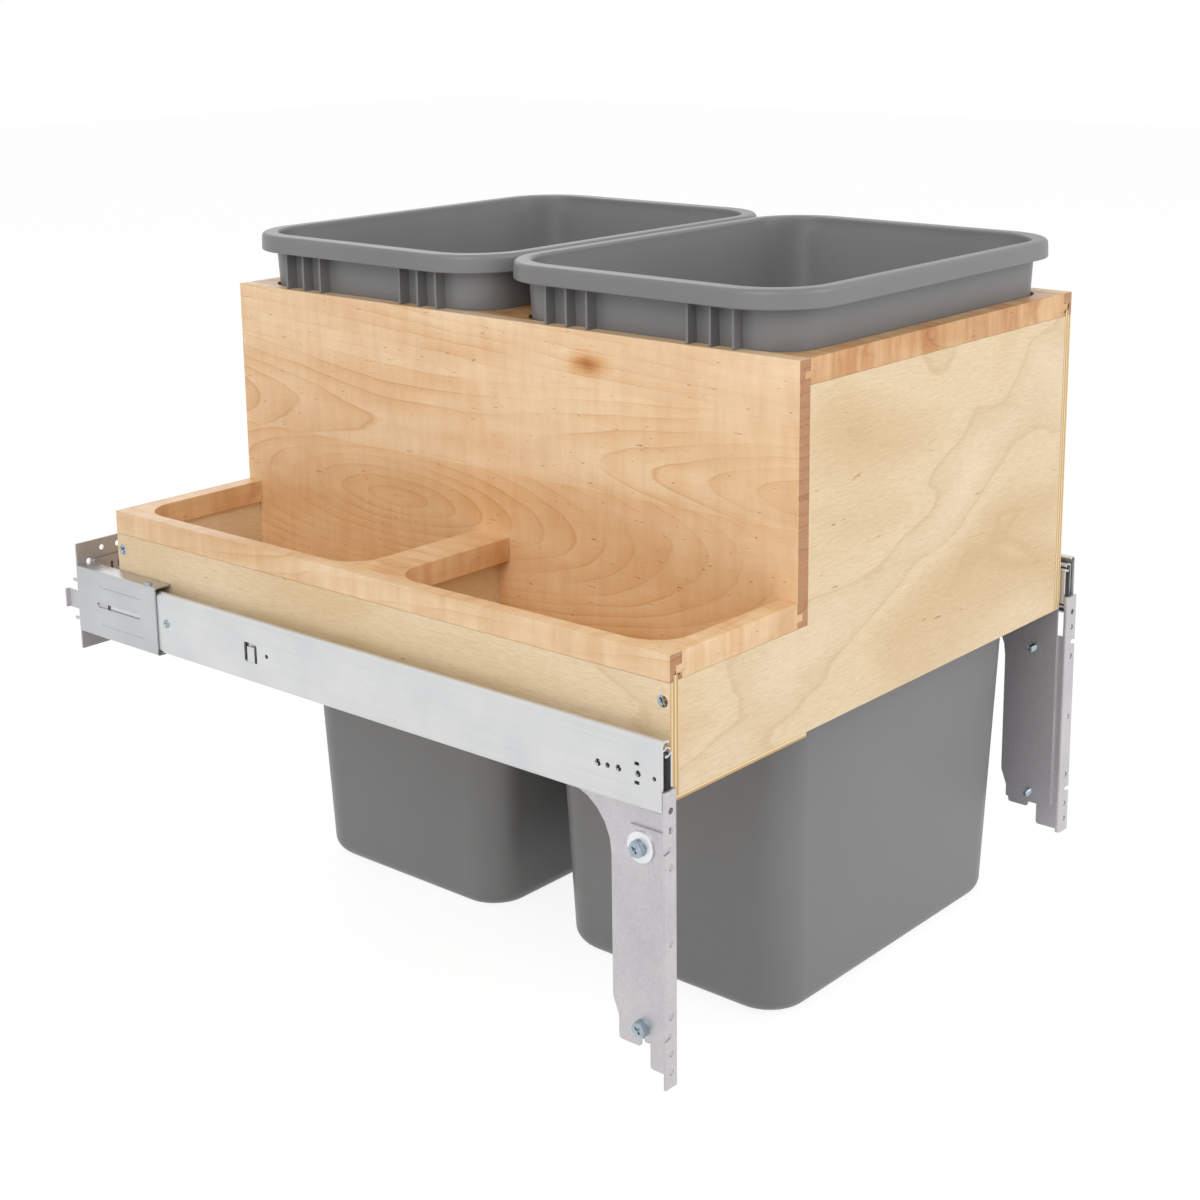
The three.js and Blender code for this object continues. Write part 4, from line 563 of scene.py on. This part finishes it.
def fastener(name, side, head_at, place, rings, shank, pitch, recess, hexagon=None):
    """A screw along X whose head looks to side (-1 or 1). Sizes in mm: head_at is the distance
    of the head's top from the middle of the cabinet, rings are (depth below the top, radius),
    shank its (start, end, radius), recess (half width, depth), hexagon its (top, foot, radius)."""
    builder = bmesh.new()

    def ring(depth, radius, steps=HEAD_STEPS):
        return [builder.verts.new(((side * (head_at - depth)) / 1000,
                                   (place[0] + radius * math.cos(2 * math.pi * i / steps)) / 1000,
                                   (place[1] + radius * math.sin(2 * math.pi * i / steps)) / 1000))
                for i in range(steps)]

    def tube(made):
        for one, two in zip(made, made[1:]):
            for i in range(len(one)):
                j = (i + 1) % len(one)
                builder.faces.new((one[i], one[j], two[j], two[i]))
        builder.faces.new(made[0])
        builder.faces.new(list(reversed(made[-1])))

    # the thread rises from its root to a narrow crest and falls back, once in every pitch
    start, end, radius = shank
    root = 0.78 * radius
    made = [ring(depth, r) for depth, r in rings]
    depth = start
    while depth < end - pitch - 0.5:
        made += [ring(depth, root), ring(depth + 0.4 * pitch, radius), ring(depth + 0.55 * pitch, radius)]
        depth += pitch
    tube(made + [ring(depth, root), ring(end - 0.2, 0.6 * radius), ring(end, 0.3 * radius)])
    if hexagon:
        top, foot, corner = hexagon
        tube([ring(top, 0.88 * corner, 6), ring(top + 0.5, corner, 6), ring(foot, corner, 6)])
    bmesh.ops.recalc_face_normals(builder, faces=builder.faces)
    body_mesh = bpy.data.meshes.new(name)
    builder.to_mesh(body_mesh)
    builder.free()

    # the cross recess: two tapered blades taken out of the head
    cutter = bmesh.new()
    half, deep = recess
    for turn in (math.pi / 4, 3 * math.pi / 4):
        blade = Matrix.Rotation(turn, 4, "X")
        corners = []
        for depth, long, wide in ((-0.4, half * 1.05, half * 0.27), (deep, half * 0.5, half * 0.16)):
            for u, v in ((-long, -wide), (long, -wide), (long, wide), (-long, wide)):
                spot = blade @ Vector((0, u, v))
                corners.append(cutter.verts.new((side * (head_at - depth) / 1000, (place[0] + spot.y) / 1000,
                                                 (place[1] + spot.z) / 1000)))
        for loop in ((0, 1, 2, 3), (7, 6, 5, 4), (0, 4, 5, 1), (1, 5, 6, 2), (2, 6, 7, 3), (3, 7, 4, 0)):
            cutter.faces.new([corners[i] for i in loop])
    bmesh.ops.recalc_face_normals(cutter, faces=cutter.faces)
    cutter_mesh = bpy.data.meshes.new(name + "_recess")
    cutter.to_mesh(cutter_mesh)
    cutter.free()
    solid = bpy.data.objects.new(name + "_uncut", body_mesh)
    blades = bpy.data.objects.new(name + "_blades", cutter_mesh)
    for item in (solid, blades):
        bpy.context.scene.collection.objects.link(item)
    taken = solid.modifiers.new("recess", "BOOLEAN")
    taken.operation, taken.object, taken.use_self = "DIFFERENCE", blades, True
    bpy.context.view_layer.update()
    cut = bpy.data.meshes.new_from_object(solid.evaluated_get(bpy.context.evaluated_depsgraph_get()))
    for item in (solid, blades):
        mesh = item.data
        bpy.data.objects.remove(item)
        bpy.data.meshes.remove(mesh)
    return cut


def add_fastener(node, body="drawer", slot="zinc_fasteners", **shape):
    """Model one CAD screw or bolt anew: shape is what fastener asks for."""
    add_piece(node + "_cross_recessed", fastener(node, **shape), blue_zinc, body, [node], angle=30)


# Panel screws, countersunk flush with the plywood, 4 mm thick and 35 mm long. They sit where the
# solids are.
BOX_SIDE = 249.5                # mm from the middle of the cabinet to the outer face of the box
for node in [name for name in nodes if name.startswith("panel_screw")]:
    low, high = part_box(node)
    add_fastener(node, side=1 if "right" in node else -1, head_at=BOX_SIDE,
                 place=(500 * (low[1] + high[1]), 500 * (low[2] + high[2])),
                 rings=[(0, 3.9), (0.25, 4.35), (0.5, 4.2), (2.6, 1.9)],
                 shank=(2.7, 35, 2.0), pitch=1.6, recess=(3.1, 2.2))

# Pan-head screws that hold the drawer members to the plywood sides, and the door bolts, whose
# heads are a hexagon over a flange.
SLIDE_SCREW_HEAD = 254.7        # mm from the middle of the cabinet, as every X below
UPPER_BOLT_HEAD, LOWER_BOLT_HEAD, BOLT_END = 260.2, 258.6, 242.6
RIVET_HEAD = 264.8
SLIDE_Z = 257.95                # mm, the middle of the slide
BOLT_Y, UPPER_BOLT_Z, LOWER_BOLT_Z = -280.75, 202.7, 76.7
for hand, side in (("left", -1), ("right", 1)):
    for end, y in (("front", -231.75), ("rear", 138.25)):
        add_fastener(f"slide_screw_{end}_{hand}", side=side, head_at=SLIDE_SCREW_HEAD, place=(y, SLIDE_Z),
                     rings=[(0, 2.4), (0.25, 3.3), (0.8, 4.0), (1.7, 4.0), (2.0, 3.9), (2.05, 1.9)],
                     shank=(2.1, 14.2, 2.0), pitch=1.4, recess=(2.2, 1.2))
    for node, head_at, z in ((f"upper_bolt_{hand}", UPPER_BOLT_HEAD, UPPER_BOLT_Z),
                             (f"lower_bolt_{hand}", LOWER_BOLT_HEAD, LOWER_BOLT_Z)):
        add_fastener(node, side=side, head_at=head_at, place=(BOLT_Y, z),
                     rings=[(0.25, 4.0), (4.4, 4.0), (4.5, 5.8), (5.4, 6.0), (5.5, 5.95), (5.55, 2.7)],
                     shank=(5.6, head_at - BOLT_END, 2.9), pitch=1.25, recess=(2.9, 2.2),
                     hexagon=(0, 4.5, 5.77))

    # the soft-close unit is held by a flat cross-recessed rivet screw in the cabinet member
    add_fastener(f"slide_rivet_{hand}", "cabinet_runners", "zinc_slide",
                 side=side, head_at=RIVET_HEAD, place=(182.25, 259.3),
                 rings=[(0, 2.2), (0.12, 2.9), (0.45, 3.4), (0.8, 3.4), (0.82, 1.9)],
                 shank=(0.85, 2.2, 2.0), pitch=0.9, recess=(1.9, 0.7))

# Washer under each upper bolt: punched, tumbled, plated white. Its profile goes once round the
# section, each point at (mm from the middle of the cabinet, radius).
WASHER_STEPS = 48
washer_profile = [(254.65, 3.3), (254.7, 3.6), (254.7, 10.2), (254.55, 10.55), (254.3, 10.7),
                  (253.3, 10.7), (253.1, 10.5), (253.1, 3.2), (254.5, 3.2)]
white_zinc = zinc_plated("tumbled_white_zinc", "#F2F3F3", "#E3E4E6", 0.4, (1.7, 1.7, 1.7))
for hand, side in (("left", -1), ("right", 1)):
    builder = bmesh.new()
    turns = [2 * math.pi * i / WASHER_STEPS for i in range(WASHER_STEPS)]
    rings = [[builder.verts.new((side * x / 1000, (BOLT_Y + radius * math.cos(turn)) / 1000,
                                 (UPPER_BOLT_Z + radius * math.sin(turn)) / 1000)) for turn in turns]
             for x, radius in washer_profile]
    for one, two in zip(rings, rings[1:] + rings[:1]):
        for i in range(WASHER_STEPS):
            j = (i + 1) % WASHER_STEPS
            builder.faces.new((one[i], one[j], two[j], two[i]))
    bmesh.ops.recalc_face_normals(builder, faces=builder.faces)
    washer = bpy.data.meshes.new(f"upper_bolt_washer_{hand}_punched")
    builder.to_mesh(washer)
    builder.free()
    add_piece(washer.name, washer, white_zinc, "drawer",
              [f"upper_bolt_washer_{hand}"], angle=25)
    dress(f"sleeve_clamp_screw_{hand}", blue_zinc)


# --- Bearing balls --------------------------------------------------------------------------
# Hardened and polished steel balls, ground round, with a thin film of grease. Each cage holds
# a row of five in its upper edge and one in its lower edge: 5.2 mm balls outside, 4.4 mm inside.
polished = new_material("polished_bearing_steel")
tree = polished.node_tree
place = add_node(tree, "TexCoord")
film = add_node(tree, "TexNoise", {"Vector": place.outputs["Object"], "Scale": 1000 / 3.3, "Detail": 2.0})
shine = add_node(tree, "MapRange", {0: film.outputs["Fac"], 1: 0.3, 2: 0.7, 3: 0.08, 4: 0.2})
surface = add_node(tree, "BsdfPrincipled", {
    "Base Color": linear("#D4D4D2"), "Metallic": 1.0, "Roughness": shine.outputs[0]})
add_node(tree, "OutputMaterial", {"Surface": surface.outputs[0]})
BALLS_IN_ROW, BALL_PITCH, CAGE_FRONT_Y = 5, 34, -161.75         # mm, half a pitch before the first
# by cage: mm from the middle of the cabinet, from the middle of the slide up or down, and radius
BALL_ROWS = (("outer", 259.85, 20.5, 2.6), ("inner", 256.2, 15.365, 2.2))
for hand, side in (("left", -1), ("right", 1)):
    for cage, x, rise, radius in BALL_ROWS:
        builder = bmesh.new()
        for up in (-1, 1):
            for i in range(BALLS_IN_ROW):
                y = CAGE_FRONT_Y + BALL_PITCH * (i + 0.5)
                spot = Matrix.Translation(Vector((side * x, y, SLIDE_Z + up * rise)) / 1000)
                bmesh.ops.create_uvsphere(builder, u_segments=20, v_segments=12,
                                          radius=radius / 1000, matrix=spot)
        balls = bpy.data.meshes.new(f"{cage}_balls_{hand}")
        builder.to_mesh(balls)
        builder.free()
        add_piece(balls.name, balls, polished, f"{cage}_cage_{hand}", [], angle=60)


# --- Soft-close units -----------------------------------------------------------------------
# A damper set inside the rear end of each cabinet member: the base is moulded in blue nylon,
# filled with glass fibre, which leaves a dull, slightly clouded surface.
nylon = new_material("moulded_glass_filled_blue_nylon")
tree = nylon.node_tree
place = add_node(tree, "TexCoord")
fibre = add_node(tree, "TexNoise", {"Vector": place.outputs["Object"], "Scale": 1000 / 1.1, "Detail": 3.0})
blue = add_node(tree, "ValToRGB", {0: fibre.outputs["Fac"]}, stops=[(0.3, "#24407E"), (0.7, "#35559A")])
rough = add_node(tree, "MapRange", {0: fibre.outputs["Fac"], 1: 0.3, 2: 0.7, 3: 0.4, 4: 0.55})
bump = add_node(tree, "Bump", {"Strength": 0.15, "Distance": 0.0001, "Height": fibre.outputs["Fac"]})
surface = add_node(tree, "BsdfPrincipled", {
    "Base Color": blue.outputs[0], "Roughness": rough.outputs[0], "IOR": 1.53,
    "Normal": bump.outputs[0]})
add_node(tree, "OutputMaterial", {"Surface": surface.outputs[0]})
for hand in ("left", "right"):
    dress(f"soft_close_unit_{hand}", nylon, edge=0.2)
